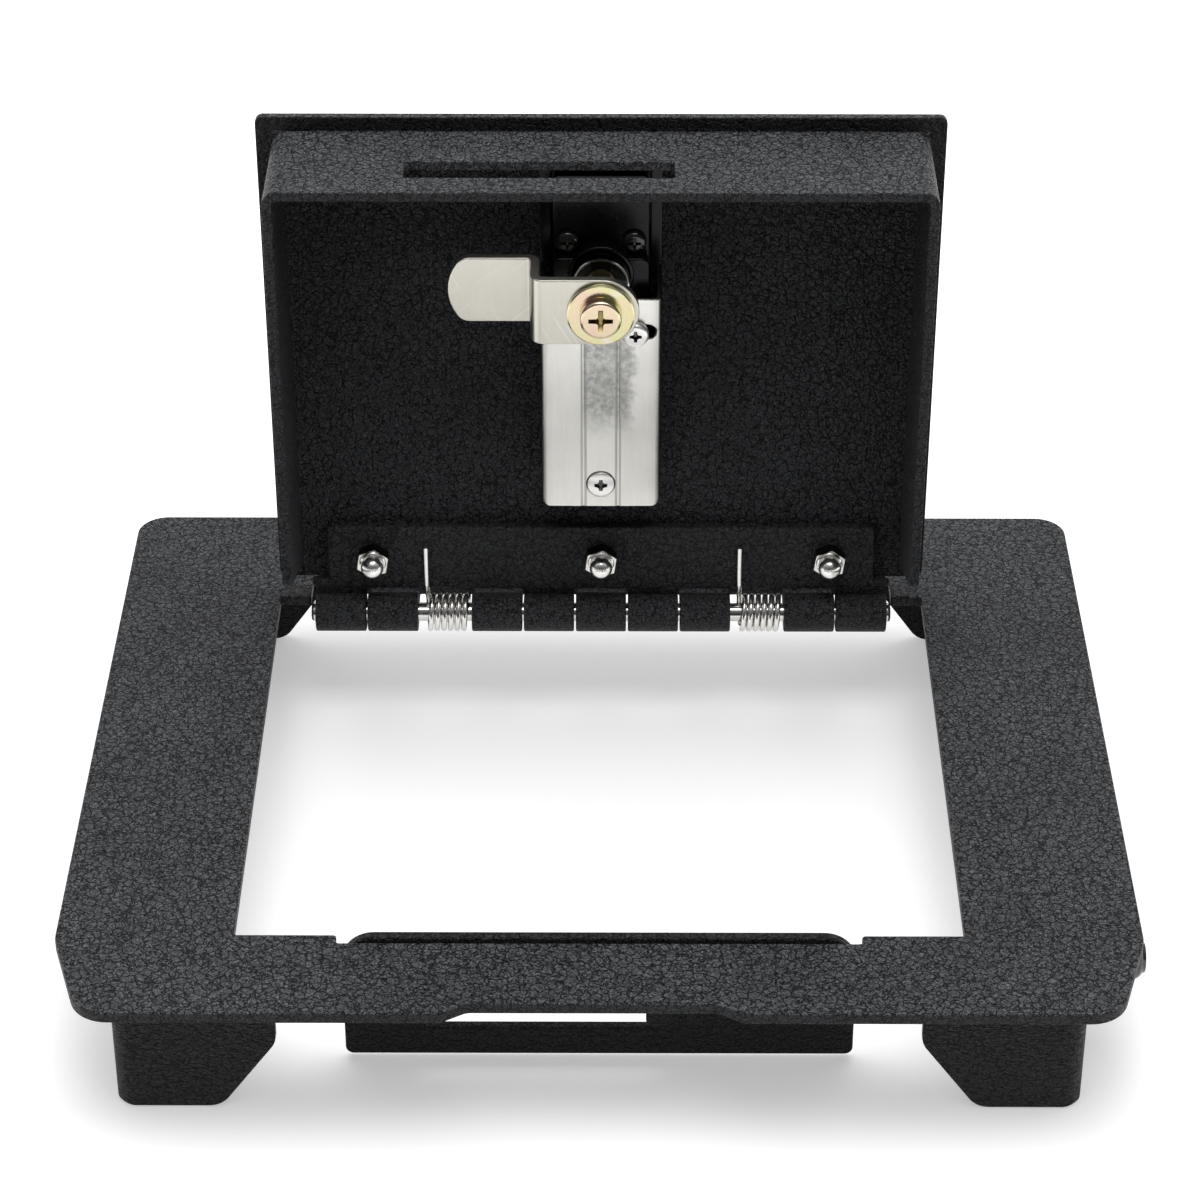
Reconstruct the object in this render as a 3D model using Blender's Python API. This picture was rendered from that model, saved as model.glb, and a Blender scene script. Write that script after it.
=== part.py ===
"""Console safe top: a steel frame plate on four short legs, with a sprung, hinged lid
that carries a four-dial combination cam lock.

The lid stands open at rest. It is modelled in its closed position, lying flat with its
outside up, under an empty on the hinge axis that swings it back by a quarter turn.
X runs to the right, Y away from the front edge, Z up from the surface it stands on.
"""
import math

import bmesh
import bpy
from mathutils import Vector

MM = 0.001

# Shared clearances and edges
seat_gap = 0.3 * MM            # between pieces that touch
overrun = 2.0 * MM             # how far a cutter passes the face it opens
small_edge = 0.2 * MM
arc_steps = 4                  # segments in a quarter circle of an outline
round_sides = 20
small_sides = 12
nut_sides = 12

# Frame plate
plate_width = 258.0 * MM
rear_rail = 40.3 * MM          # from the opening's rear edge to the rear of the plate
plate_thick = 3.0 * MM
stand_height = 36.0 * MM       # top of the frame plate over the floor
rear_corner_radius = 8.0 * MM
taper_run = 27.3 * MM          # front corners: depth of the tapered stretch
taper_in = 8.25 * MM           # and how far it draws in on each side
taper_radius = 12.0 * MM
front_corner_radius = 9.5 * MM
opening_width = 173.4 * MM
opening_front = 29.0 * MM
opening_radius = 0.8 * MM
recess_shift = -1.5 * MM       # shallow recess in the front edge
recess_half_mouth = 35.2 * MM
recess_half_floor = 29.2 * MM
recess_depth = 3.6 * MM
recess_radius = 4.0 * MM

# Legs: bent sheet corners under the plate
leg_thick = 2.7 * MM
leg_side_inset = 14.2 * MM     # outer face of a leg inside the side of the plate
leg_front_inset = 8.8 * MM
leg_rear_inset = 5.2 * MM
leg_length = 38.9 * MM         # of each flange
leg_bend_radius = 4.5 * MM
leg_chamfer_width = 13.8 * MM
leg_chamfer_height = 19.5 * MM
leg_chamfer_radius = 6.0 * MM
leg_corner_radius = 3.8 * MM

# Strike plate in the front edge of the opening
strike_thick = 2.6 * MM
strike_setback = 0.1 * MM      # rear face of the strike before the opening's edge
strike_half_width = 61.2 * MM
strike_side_gap = 1.1 * MM      # to the ends of its notch
strike_rise = 1.2 * MM         # top edge over the frame plate
strike_floor_gap = 1.5 * MM    # bottom edge over the floor
strike_top_radius = 8.0 * MM
strike_bottom_radius = 2.0 * MM
strike_slot_left = -42.0 * MM
strike_slot_right = 15.0 * MM
strike_slot_height = 11.4 * MM
strike_slot_shift = 1.8 * MM  # its middle under the middle of the locked bolt
slot_radius = 1.0 * MM
stop_left = 11.2 * MM          # small tab that stops the bolt's swing
stop_width = 6.5 * MM
stop_thick = 2.5 * MM
stop_reach = 23.2 * MM         # its lower end under the plate's top face
stop_radius = 1.5 * MM

# Side screw through the front right leg
side_screw_y = 32.3 * MM
side_nut_gap = 0.3265 * MM     # corners of its nuts under the plate
side_screw_stand = 15.5 * MM   # outer face of its head outside the leg
side_head_radius = 5.25 * MM
side_head_height = 3.3 * MM
side_shank_radius = 2.9 * MM
side_shank_inward = 10.3 * MM  # its inner end inside the outer face of the leg
side_hole_radius = 3.2 * MM
side_nut_flats = 10.0 * MM
side_nut_height = 5.0 * MM

# Hinge: eleven places along the pin, two of them windows for the springs
lid_lift = 1.5 * MM            # underside of the closed lid over the frame plate
knuckle_radius = 5.3 * MM
axis_to_underside = 5.4 * MM   # hinge axis to the underside of the lid plate
hinge_inset = 1.7 * MM         # hinge axis in front of the opening's rear edge
hinge_side_room = 9.37 * MM    # from each end of the hinge to the side of the opening
knuckle_count = 11
knuckle_gap = 0.5 * MM
lid_knuckles = (0, 4, 6, 10)
frame_knuckles = (1, 3, 5, 7, 9)
spring_places = (2, 8)
leaf_thick = 2.7 * MM
pin_radius = 2.5 * MM
pin_overhang = 1.0 * MM        # pin past the outer knuckles
pin_chamfer = 0.4 * MM
bore_play = 0.3 * MM           # radial clearance of the knuckles on the pin
leaf_end_inset = 3.83 * MM      # end of the leaves inside the end of the hinge
lid_leaf_near = 6.9 * MM       # near edge of the lid leaf from the hinge axis
lid_leaf_far = 25.5 * MM
lid_leaf_shoulder = 8.6 * MM
leaf_corner_radius = 1.5 * MM
frame_leaf_near = 11.5 * MM
frame_leaf_far = 31.0 * MM
hinge_notch_side_gap = 1.2 * MM

# Torsion springs
spring_wire = 1.35 * MM
spring_mean_radius = 4.5 * MM
spring_pitch = 1.8 * MM
spring_part_turn = 0.875       # past its whole turns
spring_side_gap = 2.0 * MM     # from the knuckle on its left to the first coil
spring_leg_shift = 0.3 * MM
spring_lid_reach = 19.6 * MM
spring_frame_reach = 24.0 * MM
spring_bend = 1.5 * MM
spring_points_per_turn = 10
spring_bend_points = 4
spring_least_gap = 0.4 * MM

# Studs and nuts of the hinge leaves
stud_inset = 12.2 * MM         # outer studs inside the ends of the leaves
stud_radius = 2.3 * MM
stud_hole_play = 0.4 * MM
lid_stud_s = 16.2 * MM         # from the hinge axis along the lid
frame_stud_y = 22.0 * MM       # from the hinge axis to the rear
nut_flats = 7.8 * MM
nut_hex_height = 3.6 * MM
nut_chamfer = 0.6 * MM
dome_wall = 0.3 * MM
dome_straight = 1.6 * MM
nut_bore_play = 0.3 * MM
stud_in_nut = 4.0 * MM
plain_nut_height = 4.0 * MM

# Lid
lid_side_overlap = 0.2 * MM     # lid plate past each side of the opening
lid_thick = 2.5 * MM
lid_overhang = 3.7 * MM        # lid plate past the front face of the skirt
lid_rear_edge = 5.0 * MM       # from the hinge axis, between the corner notches
lid_notch_edge = 13.2 * MM
lid_notch_inset = 1.83 * MM    # corner notches inside the ends of the hinge
lid_front_radius = 2.0 * MM
skirt_side_inset = 4.1 * MM    # skirt inside each side of the lid plate
skirt_thick = 2.5 * MM
skirt_strike_gap = 3.4 * MM    # closed skirt behind the strike plate
skirt_lock_room = 7.2 * MM     # from the lock housing to the outside of the front wall
skirt_depth = 34.3 * MM
skirt_radius = 4.0 * MM
skirt_end_top = 13.5 * MM      # rear ends of the side walls, at the lid and at the rim
skirt_end_rim = 26.8 * MM
skirt_end_radius = 3.0 * MM
bolt_slot_left = -48.5 * MM
bolt_slot_right = 18.2 * MM
bolt_slot_height = 8.7 * MM
bolt_slot_shift = 1.4 * MM     # its middle past the middle of the bolt

# Lock, on the centre line of the lid
lock_leaf_gap = 18.0 * MM      # from the lid leaf to the lock housing
housing_behind = 64.0 * MM     # lock axis to the near end of the housing
housing_ahead = 26.5 * MM      # and to its far end
housing_wall = 1.3 * MM         # beside and under the dials
housing_floor = 1.1 * MM
housing_corner = 2.0 * MM
housing_step_ahead = 4.6 * MM   # beyond it the inner face is lower, for the screws
housing_step = 3.8 * MM
cutout_play = 0.4 * MM
boss_wall = 1.1 * MM
boss_rise = 0.5 * MM
barrel_radius = 7.3 * MM
barrel_stand = 4.5 * MM         # past the boss
barrel_rim = 0.8 * MM
barrel_recess = 1.0 * MM
spindle_radius = 3.9 * MM
tail_half = 2.3 * MM
tail_hole_radius = 1.6 * MM
housing_screw_inset = 3.7 * MM
housing_screw_ahead = 8.1 * MM
clamp_side = 3.4 * MM           # clamp past the sides of the housing
clamp_thick = 1.7 * MM
clamp_behind = 2.0 * MM
clamp_ahead = 29.3 * MM
bezel_side = 3.8 * MM
bezel_overlap = 3.0 * MM        # bezel past each end of the housing
bezel_thick = 2.8 * MM
bezel_corner = 4.0 * MM
bezel_window_half = 9.4 * MM

# Dials
dial_count = 4
dial_radius = 10.0 * MM
dial_width = 6.6 * MM
dial_pitch = 9.2 * MM
dial_first_inset = 16.5 * MM   # first dial from the near end of the housing
dial_height = 3.6 * MM         # dial axis over the hinge axis plane
dial_lobes = 10
dial_groove = 0.7 * MM
dial_play = 0.9 * MM
dial_bore = 1.8 * MM
dial_shaft_radius = 1.5 * MM
dial_shaft_seat = 1.6 * MM
dial_points_per_lobe = 4

# Stainless cover over the lock
cover_side = 3.3 * MM           # cover past the sides of the housing
cover_thick = 1.2 * MM
cover_room = 5.6 * MM          # from the housing to the cover's outer face
cover_overlap = 1.1 * MM       # cover past the near end of the housing
cover_end_behind = 3.9 * MM    # its far end behind the lock axis
cover_bend = 2.2 * MM
cover_mouth_gap = 1.1 * MM     # round the boss
groove_half_spread = 4.5 * MM
groove_width = 0.7 * MM
groove_depth = 0.3 * MM
groove_length = 45.0 * MM      # behind the lock axis
cover_screw_inset = 5.8 * MM   # from the near end of the housing
cover_side_screw_inset = 3.4 * MM
cover_side_screw_behind = 13.1 * MM
cover_slot_half_length = 4.2 * MM
cover_slot_radius = 2.1 * MM
cover_slot_shift = 1.1 * MM
post_radius = 3.0 * MM

# Cam, washer and screw
cam_thick = 2.4 * MM
cam_half_width = 9.0 * MM
cam_tongue_drop = 16.0 * MM    # inner face of the tongue below the hinge axis plane
cam_base_drop = 27.8 * MM
cam_bite = 1.4 * MM            # tip of the locked tongue past the rear face of the strike
cam_tip_radius = 11.4 * MM
cam_tip_corner = 0.6 * MM
cam_riser_x = -16.4 * MM
cam_bend_radius = 1.0 * MM
cam_end_x = 9.6 * MM
cam_hole_play = 0.3 * MM
washer_radius = 7.8 * MM
washer_bore = 1.9 * MM
washer_thick = 1.2 * MM
cam_screw_radius = 5.1 * MM
cam_screw_height = 2.3 * MM
cam_shank_radius = 1.3 * MM
cam_shank_length = 8.0 * MM

# Small screws
pan_radius = 3.4 * MM
pan_height = 2.3 * MM
black_radius = 3.0 * MM
black_height = 1.6 * MM
small_shank_radius = 1.2 * MM
small_hole_play = 0.3 * MM
cover_shank_length = 8.0 * MM
recess_share = 0.36            # half length of a cross recess by head radius
recess_width_share = 0.26
recess_depth_share = 0.5

# Knob outside the lid
knob_radius = 12.0 * MM
knob_base_height = 4.0 * MM
knob_height = 14.0 * MM
knob_grip_half = 3.4 * MM
knob_grip_length = 11.0 * MM
knob_edge = 0.8 * MM
knob_roof = 11.3 * MM         # solid part of the knob over the spindle's end

# Places worked out from the sizes above
plate_top = stand_height
plate_under = stand_height - plate_thick
strike_rear = opening_front - strike_setback
strike_front = strike_rear - strike_thick
housing_near = lid_leaf_far + lock_leaf_gap
lock_s = housing_near + housing_behind             # lock axis from the hinge axis
housing_far = lock_s + housing_ahead
skirt_front = housing_far + skirt_lock_room        # front wall's outer face from the hinge axis
hinge_y = strike_rear + skirt_strike_gap + skirt_front
opening_rear = hinge_y + hinge_inset
plate_depth = opening_rear + rear_rail
leg_half_span = plate_width / 2 - leg_side_inset   # centre line to the outer face of a leg
side_screw_end = leg_half_span + side_screw_stand
side_screw_drop = plate_thick + side_nut_gap + side_nut_flats / 2 / math.cos(math.pi / 6)
side_shank_inner = leg_half_span - side_shank_inward
hinge_z = plate_top + lid_lift - axis_to_underside
hinge_half = opening_width / 2 - hinge_side_room
hinge_pitch = hinge_half * 2 / knuckle_count
lid_leaf_half_width = hinge_half - leaf_end_inset
stud_spread = lid_leaf_half_width - stud_inset
lid_width = opening_width + lid_side_overlap * 2
lid_notch_half = hinge_half - lid_notch_inset
skirt_width = lid_width - skirt_side_inset * 2
housing_half_width = dial_radius + dial_play + housing_wall
housing_drop = dial_radius + dial_play - dial_height + housing_floor   # below the hinge axis plane
housing_step_s = lock_s + housing_step_ahead
housing_screw_x = housing_half_width - housing_screw_inset
barrel_bore = spindle_radius + seat_gap
boss_radius = barrel_radius + boss_wall
boss_drop = housing_drop + boss_rise
barrel_drop = boss_drop + barrel_stand
clamp_half_width = housing_half_width + clamp_side
bezel_half_width = housing_half_width + bezel_side
cover_half_width = housing_half_width + cover_side
cover_drop = housing_drop + cover_room
cover_mouth_radius = boss_radius + cover_mouth_gap
cover_side_screw_x = housing_half_width - cover_side_screw_inset
cover_slot_x = cover_side_screw_x + cover_slot_shift
housing_screw_s = lock_s + housing_screw_ahead
clamp_near = lock_s - clamp_behind
clamp_far = lock_s + clamp_ahead
bezel_near = housing_near - bezel_overlap
bezel_far = housing_far + bezel_overlap
dial_first_s = housing_near + dial_first_inset
cover_near = housing_near - cover_overlap
cover_far = lock_s - cover_end_behind
groove_end = lock_s - groove_length
cover_screw_s = housing_near + cover_screw_inset
cover_side_screw_s = lock_s - cover_side_screw_behind
cam_reach = hinge_y - strike_rear + cam_bite - lock_s   # lock axis to the tip of the tongue
notch_half = hinge_half + hinge_notch_side_gap
bolt_middle = hinge_z - cam_tongue_drop + cam_thick / 2
strike_slot_low = bolt_middle - strike_slot_shift - strike_slot_height / 2
strike_slot_high = strike_slot_low + strike_slot_height
lid_under = axis_to_underside
lid_top = lid_under + lid_thick
skirt_rim = lid_under - skirt_depth
leaf_top = lid_under - seat_gap
leaf_face = leaf_top - leaf_thick
bezel_under = lid_top + seat_gap
bezel_top = bezel_under + bezel_thick
knob_under = bezel_top + seat_gap
bore_radius = pin_radius + bore_play
dome_radius = stud_radius + nut_bore_play + dome_wall
spring_room = hinge_pitch + knuckle_gap - spring_side_gap - spring_wire
spring_turns = math.floor(spring_room / spring_pitch - spring_part_turn) + spring_part_turn
stud_hole = stud_radius + stud_hole_play
frame_leaf_top = plate_under - seat_gap - hinge_z
frame_leaf_under = frame_leaf_top - leaf_thick


def clear_scene():
    for item in list(bpy.data.objects):
        bpy.data.objects.remove(item, do_unlink=True)


def material(name, colour, roughness, metallic):
    made = bpy.data.materials.new(name)
    made.use_nodes = True
    shader = made.node_tree.nodes["Principled BSDF"]
    shader.inputs["Base Color"].default_value = (*colour, 1.0)
    shader.inputs["Roughness"].default_value = roughness
    shader.inputs["Metallic"].default_value = metallic
    made.diffuse_color = (*colour, 1.0)
    return made


def empty(name, place, parent=None, turn_x=0.0):
    made = bpy.data.objects.new(name, None)
    made.location = place
    made.rotation_euler.x = turn_x
    made.parent = parent
    bpy.context.collection.objects.link(made)
    return made


def add_mesh(name, mesh_data, skin, parent, place=(0, 0, 0)):
    bmesh.ops.recalc_face_normals(mesh_data, faces=mesh_data.faces)
    mesh = bpy.data.meshes.new(name)
    mesh_data.to_mesh(mesh)
    mesh_data.free()
    mesh.shade_smooth()
    mesh.set_sharp_from_angle(angle=math.radians(35))
    if skin:
        mesh.materials.append(skin)
    made = bpy.data.objects.new(name, mesh)
    made.location = place
    made.parent = parent
    bpy.context.collection.objects.link(made)
    return made


def rounded(corners):
    """Outline through (a, b, radius) corners, each turned by an arc of its radius."""
    points = []
    count = len(corners)
    for index, corner in enumerate(corners):
        here = Vector(corner[:2])
        radius = corner[2] if len(corner) > 2 else 0
        if not radius:
            points.append(tuple(here))
            continue
        before = Vector(corners[index - 1][:2])
        after = Vector(corners[(index + 1) % count][:2])
        back = (before - here).normalized()
        ahead = (after - here).normalized()
        half = back.angle(ahead) / 2
        middle = here + (back + ahead).normalized() * (radius / math.sin(half))
        first = here + back * (radius / math.tan(half)) - middle
        sweep = first.angle_signed(here + ahead * (radius / math.tan(half)) - middle)
        steps = max(2, math.ceil(abs(sweep) / (math.pi / 2) * arc_steps))
        start = math.atan2(first.y, first.x)
        for step in range(steps + 1):
            turn = start - sweep * step / steps
            points.append((middle.x + radius * math.cos(turn), middle.y + radius * math.sin(turn)))
    return points


def circle(radius, sides=round_sides, centre=(0, 0)):
    """Points of a circle."""
    turns = [2 * math.pi * (side + 0.5) / sides for side in range(sides)]
    return [(centre[0] + radius * math.cos(t), centre[1] + radius * math.sin(t)) for t in turns]


def on_axis(axis, a, b, along):
    """Place of outline point (a, b) on a plane across the given axis."""
    if axis == "X":
        return (along, a, b)
    if axis == "Y":
        return (a, along, b)
    return (a, b, along)


def add_prism(mesh_data, outline, axis, low, high):
    lower = [mesh_data.verts.new(on_axis(axis, a, b, low)) for a, b in outline]
    upper = [mesh_data.verts.new(on_axis(axis, a, b, high)) for a, b in outline]
    mesh_data.faces.new(lower)
    mesh_data.faces.new(upper)
    for index in range(len(outline)):
        follow = (index + 1) % len(outline)
        mesh_data.faces.new((lower[index], lower[follow], upper[follow], upper[index]))


def prism(name, outline, axis, low, high, skin=None, parent=None, place=(0, 0, 0)):
    mesh_data = bmesh.new()
    add_prism(mesh_data, outline, axis, low, high)
    return add_mesh(name, mesh_data, skin, parent, place)


def add_rings(mesh_data, rings):
    """Closed skin through rings of equal point counts, capped at both ends."""
    built = [[mesh_data.verts.new(point) for point in ring] for ring in rings]
    mesh_data.faces.new(built[0])
    mesh_data.faces.new(built[-1])
    for low, high in zip(built, built[1:]):
        for index in range(len(low)):
            follow = (index + 1) % len(low)
            mesh_data.faces.new((low[index], low[follow], high[follow], high[index]))


def ring(axis, centre, along, radius, sides, flats=0):
    """Ring of points round an axis; flats gives a hexagon of that width across flats."""
    points = []
    for side in range(sides):
        turn = 2 * math.pi * side / sides + math.pi / 6
        reach = radius
        if flats:
            off_flat = (turn + math.pi / 6) % (math.pi / 3) - math.pi / 6
            reach = min(radius, flats / 2 / math.cos(off_flat))
        a = centre[0] + reach * math.cos(turn)
        b = centre[1] + reach * math.sin(turn)
        points.append(on_axis(axis, a, b, along))
    return points


def turned(name, axis, centre, profile, skin, parent, sides=round_sides, place=(0, 0, 0)):
    """Solid of revolution through (along, radius) steps."""
    mesh_data = bmesh.new()
    add_rings(mesh_data, [ring(axis, centre, along, radius, sides) for along, radius in profile])
    return add_mesh(name, mesh_data, skin, parent, place)


def hollow(name, rings, skin, parent, place=(0, 0, 0)):
    """Closed skin round through a loop of rings, which leaves a bore in the middle."""
    mesh_data = bmesh.new()
    built = [[mesh_data.verts.new(point) for point in points] for points in rings]
    for near, far in zip(built, built[1:] + built[:1]):
        for index in range(len(near)):
            follow = (index + 1) % len(near)
            mesh_data.faces.new((near[index], near[follow], far[follow], far[index]))
    return add_mesh(name, mesh_data, skin, parent, place)


def guide(helper):
    """Mark an object as a cutter that is no part of the model."""
    helper.hide_render = True
    helper.display_type = "WIRE"
    return helper


def boolean(target, helper, operation):
    guide(helper)
    change = target.modifiers.new(helper.name, "BOOLEAN")
    change.operation = operation
    change.solver = "EXACT"
    change.object = helper
    return target


def cut(target, helper):
    return boolean(target, helper, "DIFFERENCE")


def unite(target, helper):
    return boolean(target, helper, "UNION")


def keep_inside(target, helper):
    return boolean(target, helper, "INTERSECT")


def box_outline(left, right, low, high, radius=0):
    return rounded([(left, low, radius), (right, low, radius), (right, high, radius), (left, high, radius)])


# Frame

def make_frame_plate(skin, root):
    half = plate_width / 2
    front = half - taper_in
    mouth_left = recess_shift - recess_half_mouth
    mouth_right = recess_shift + recess_half_mouth
    floor_left = recess_shift - recess_half_floor
    floor_right = recess_shift + recess_half_floor
    outline = rounded([
        (-front, 0, front_corner_radius),
        (mouth_left, 0, recess_radius),
        (floor_left, recess_depth, recess_radius),
        (floor_right, recess_depth, recess_radius),
        (mouth_right, 0, recess_radius),
        (front, 0, front_corner_radius),
        (half, taper_run, taper_radius),
        (half, plate_depth, rear_corner_radius),
        (-half, plate_depth, rear_corner_radius),
        (-half, taper_run, taper_radius),
    ])
    plate = prism("frame_plate", outline, "Z", plate_under, plate_top, skin, root)
    side = opening_width / 2
    strike_side = strike_half_width + strike_side_gap
    strike_notch = strike_front - seat_gap
    hinge_notch = hinge_y + frame_leaf_near
    opening = rounded([
        (-side, opening_front, opening_radius),
        (-strike_side, opening_front, opening_radius),
        (-strike_side, strike_notch, opening_radius),
        (strike_side, strike_notch, opening_radius),
        (strike_side, opening_front, opening_radius),
        (side, opening_front, opening_radius),
        (side, opening_rear, opening_radius),
        (notch_half, opening_rear, opening_radius),
        (notch_half, hinge_notch, opening_radius),
        (-notch_half, hinge_notch, opening_radius),
        (-notch_half, opening_rear, opening_radius),
        (-side, opening_rear, opening_radius),
    ])
    helper = prism("frame opening", opening, "Z", plate_under - overrun, plate_top + overrun, None, root)
    return cut(plate, helper)


def leg_profile(near, sign):
    """Side view of a flange: from the bend at near, along sign, with a chamfered inner foot."""
    far = near + sign * leg_length
    return rounded([
        (near, plate_under - seat_gap),
        (far, plate_under - seat_gap),
        (far, leg_chamfer_height, leg_chamfer_radius),
        (far - sign * leg_chamfer_width, 0, leg_chamfer_radius),
        (near, 0),
    ])


def round_foot(leg, corner, side, front, root):
    """Round the lower corner at the bend, cut square across the corner's diagonal."""
    radius = leg_corner_radius
    near = leg_bend_radius * (math.sqrt(2) - 1)
    outline = [(near - radius, radius), (near - radius, -overrun), (near + radius, -overrun)]
    for step in range(arc_steps + 1):
        turn = math.pi / 2 * step / arc_steps
        outline.append((near + radius * (1 - math.sin(turn)), radius * (1 - math.cos(turn))))
    reach = leg_bend_radius + radius * 2
    helper = prism(leg.name + " foot corner", outline, "X", -reach, reach, None, root, (*corner, 0))
    helper.rotation_euler.z = math.atan2(side, front)
    return cut(leg, helper)


def make_leg(name, side, front, skin, root):
    """Corner leg; side is -1 or 1 in X, front is 1 at the front and -1 at the rear."""
    corner_x = side * leg_half_span
    corner_y = leg_front_inset if front > 0 else plate_depth - leg_rear_inset
    inner_x = corner_x - side * leg_thick
    inner_y = corner_y + front * leg_thick
    end_x = corner_x - side * leg_length
    end_y = corner_y + front * leg_length
    inner_bend = leg_bend_radius - leg_thick
    plan = rounded([
        (corner_x, corner_y, leg_bend_radius),
        (end_x, corner_y),
        (end_x, inner_y),
        (inner_x, inner_y, inner_bend),
        (inner_x, end_y),
        (corner_x, end_y),
    ])
    leg = prism(name, plan, "Z", 0, plate_under - seat_gap, skin, root)
    across = sorted((corner_y - front * overrun, end_y + front * overrun))
    along = sorted((corner_x + side * overrun, end_x - side * overrun))
    keep_inside(leg, prism(name + " front view", leg_profile(corner_x, -side), "Y", *across, None, root))
    keep_inside(leg, prism(name + " side view", leg_profile(corner_y, front), "X", *along, None, root))
    round_foot(leg, (corner_x, corner_y), side, front, root)
    if side > 0 and front > 0:
        hole = circle(side_hole_radius, small_sides, (side_screw_y, plate_top - side_screw_drop))
        cut(leg, prism("side screw hole", hole, "X", inner_x - overrun, corner_x + overrun, None, root))
    return leg


def make_strike(skin, root):
    half = strike_half_width
    bottom = strike_floor_gap
    top = plate_top + strike_rise
    outline = rounded([
        (-half, bottom, strike_bottom_radius),
        (half, bottom, strike_bottom_radius),
        (half, top, strike_top_radius),
        (-half, top, strike_top_radius),
    ])
    strike = prism("strike_plate", outline, "Y", strike_front, strike_rear, skin, root)
    slot = box_outline(strike_slot_left, strike_slot_right, strike_slot_low, strike_slot_high, slot_radius)
    cut(strike, prism("strike slot", slot, "Y", strike_front - overrun, strike_rear + overrun, None, root))
    return strike


def make_bolt_stop(skin, root):
    rear = strike_front - seat_gap
    right = stop_left + stop_width
    low = plate_top - stop_reach
    outline = rounded([
        (stop_left, low, stop_radius),
        (right, low, stop_radius),
        (right, plate_under - seat_gap),
        (stop_left, plate_under - seat_gap),
    ])
    return prism("bolt_stop", outline, "Y", rear - stop_thick, rear, skin, root)


def make_side_screw(skin, root):
    centre = (side_screw_y, plate_top - side_screw_drop)
    seat = side_screw_end - side_head_height
    steps = 4
    roll = math.pi / 3
    profile = [(side_shank_inner, side_shank_radius), (seat, side_shank_radius)]
    for step in range(steps + 1):
        rise = roll * step / steps
        along = seat + side_head_height * math.sin(rise) / math.sin(roll)
        profile.append((along, side_head_radius * math.cos(rise)))
    return turned("side_screw", "X", centre, profile, skin, root, small_sides)


def make_plain_nut(name, axis, centre, low, high, flats, bore, skin, parent, place=(0, 0, 0)):
    """Hexagon nut with a round bore, both faces chamfered."""
    sides = nut_sides
    corner = flats / 2 / math.cos(math.pi / 6)
    rim = corner - nut_chamfer
    inner = [ring(axis, centre, low, bore, sides), ring(axis, centre, high, bore, sides)]
    outer = [
        ring(axis, centre, high, rim, sides, flats),
        ring(axis, centre, high - nut_chamfer / 2, corner, sides, flats),
        ring(axis, centre, low + nut_chamfer / 2, corner, sides, flats),
        ring(axis, centre, low, rim, sides, flats),
    ]
    return hollow(name, inner + outer, skin, parent, place)


def make_side_nuts(skin, root):
    """A lock nut outside the leg and a weld nut inside it."""
    centre = (side_screw_y, plate_top - side_screw_drop)
    outside = leg_half_span + seat_gap
    inside = leg_half_span - leg_thick - seat_gap
    bore = side_shank_radius + seat_gap
    make_plain_nut("side_nut_outer", "X", centre, outside, outside + side_nut_height, side_nut_flats,
                   bore, skin, root)
    make_plain_nut("side_nut_inner", "X", centre, inside - side_nut_height, inside, side_nut_flats,
                   bore, skin, root)


# Hinge

def knuckle_span(place):
    """Left and right end of the knuckle at a place along the pin."""
    left = -hinge_half + place * hinge_pitch
    return left + knuckle_gap / 2, left + hinge_pitch - knuckle_gap / 2


def leaf_with_fingers(places, near, far, half_width, shoulder, sign):
    """Plan of a leaf: a strip from near to far, with a finger to the axis at each place."""
    corners = [(half_width, sign * far, leaf_corner_radius), (-half_width, sign * far, leaf_corner_radius)]
    first_left = knuckle_span(places[0])[0]
    last_right = knuckle_span(places[-1])[1]
    if first_left < -half_width:
        corners.append((-half_width, sign * shoulder))
    else:
        corners.append((-half_width, sign * near))
    for place in places:
        left, right = knuckle_span(place)
        start = shoulder if left < -half_width else near
        end = shoulder if right > half_width else near
        corners += [(left, sign * start), (left, 0), (right, 0), (right, sign * end)]
    if last_right > half_width:
        corners.append((half_width, sign * shoulder))
    else:
        corners.append((half_width, sign * near))
    return rounded(corners)


def add_knuckles(leaf, places, parent, place):
    """Barrels round the axis, united with the leaf, and one bore through them all."""
    for index in places:
        left, right = knuckle_span(index)
        barrel = prism(f"{leaf.name} barrel {index}", circle(knuckle_radius), "X", left, right, None,
                       parent, place)
        unite(leaf, barrel)
    bore = prism(leaf.name + " bore", circle(bore_radius), "X", -hinge_half - overrun,
                 hinge_half + overrun, None, parent, place)
    return cut(leaf, bore)


def cut_stud_holes(leaf, along, low, high, parent, place=(0, 0, 0)):
    mesh_data = bmesh.new()
    for x in (-stud_spread, 0, stud_spread):
        add_prism(mesh_data, circle(stud_hole, small_sides, (x, along)), "Z", low - overrun, high + overrun)
    return cut(leaf, add_mesh(leaf.name + " stud holes", mesh_data, None, parent, place))


def make_frame_leaf(skin, root):
    axis = (0, hinge_y, hinge_z)
    plan = leaf_with_fingers(frame_knuckles, frame_leaf_near, frame_leaf_far, lid_leaf_half_width,
                             frame_leaf_near, 1)
    leaf = prism("hinge_frame_leaf", plan, "Z", frame_leaf_under, frame_leaf_top, skin, root, axis)
    add_knuckles(leaf, frame_knuckles, root, axis)
    return cut_stud_holes(leaf, frame_stud_y, frame_leaf_under, frame_leaf_top, root, axis)


def make_lid_leaf(skin, lid):
    plan = leaf_with_fingers(lid_knuckles, lid_leaf_near, lid_leaf_far, lid_leaf_half_width,
                             lid_leaf_shoulder, -1)
    leaf = prism("hinge_lid_leaf", plan, "Z", leaf_face, leaf_top, skin, lid)
    add_knuckles(leaf, lid_knuckles, lid, (0, 0, 0))
    return cut_stud_holes(leaf, -lid_stud_s, leaf_face, leaf_top, lid)


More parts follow.
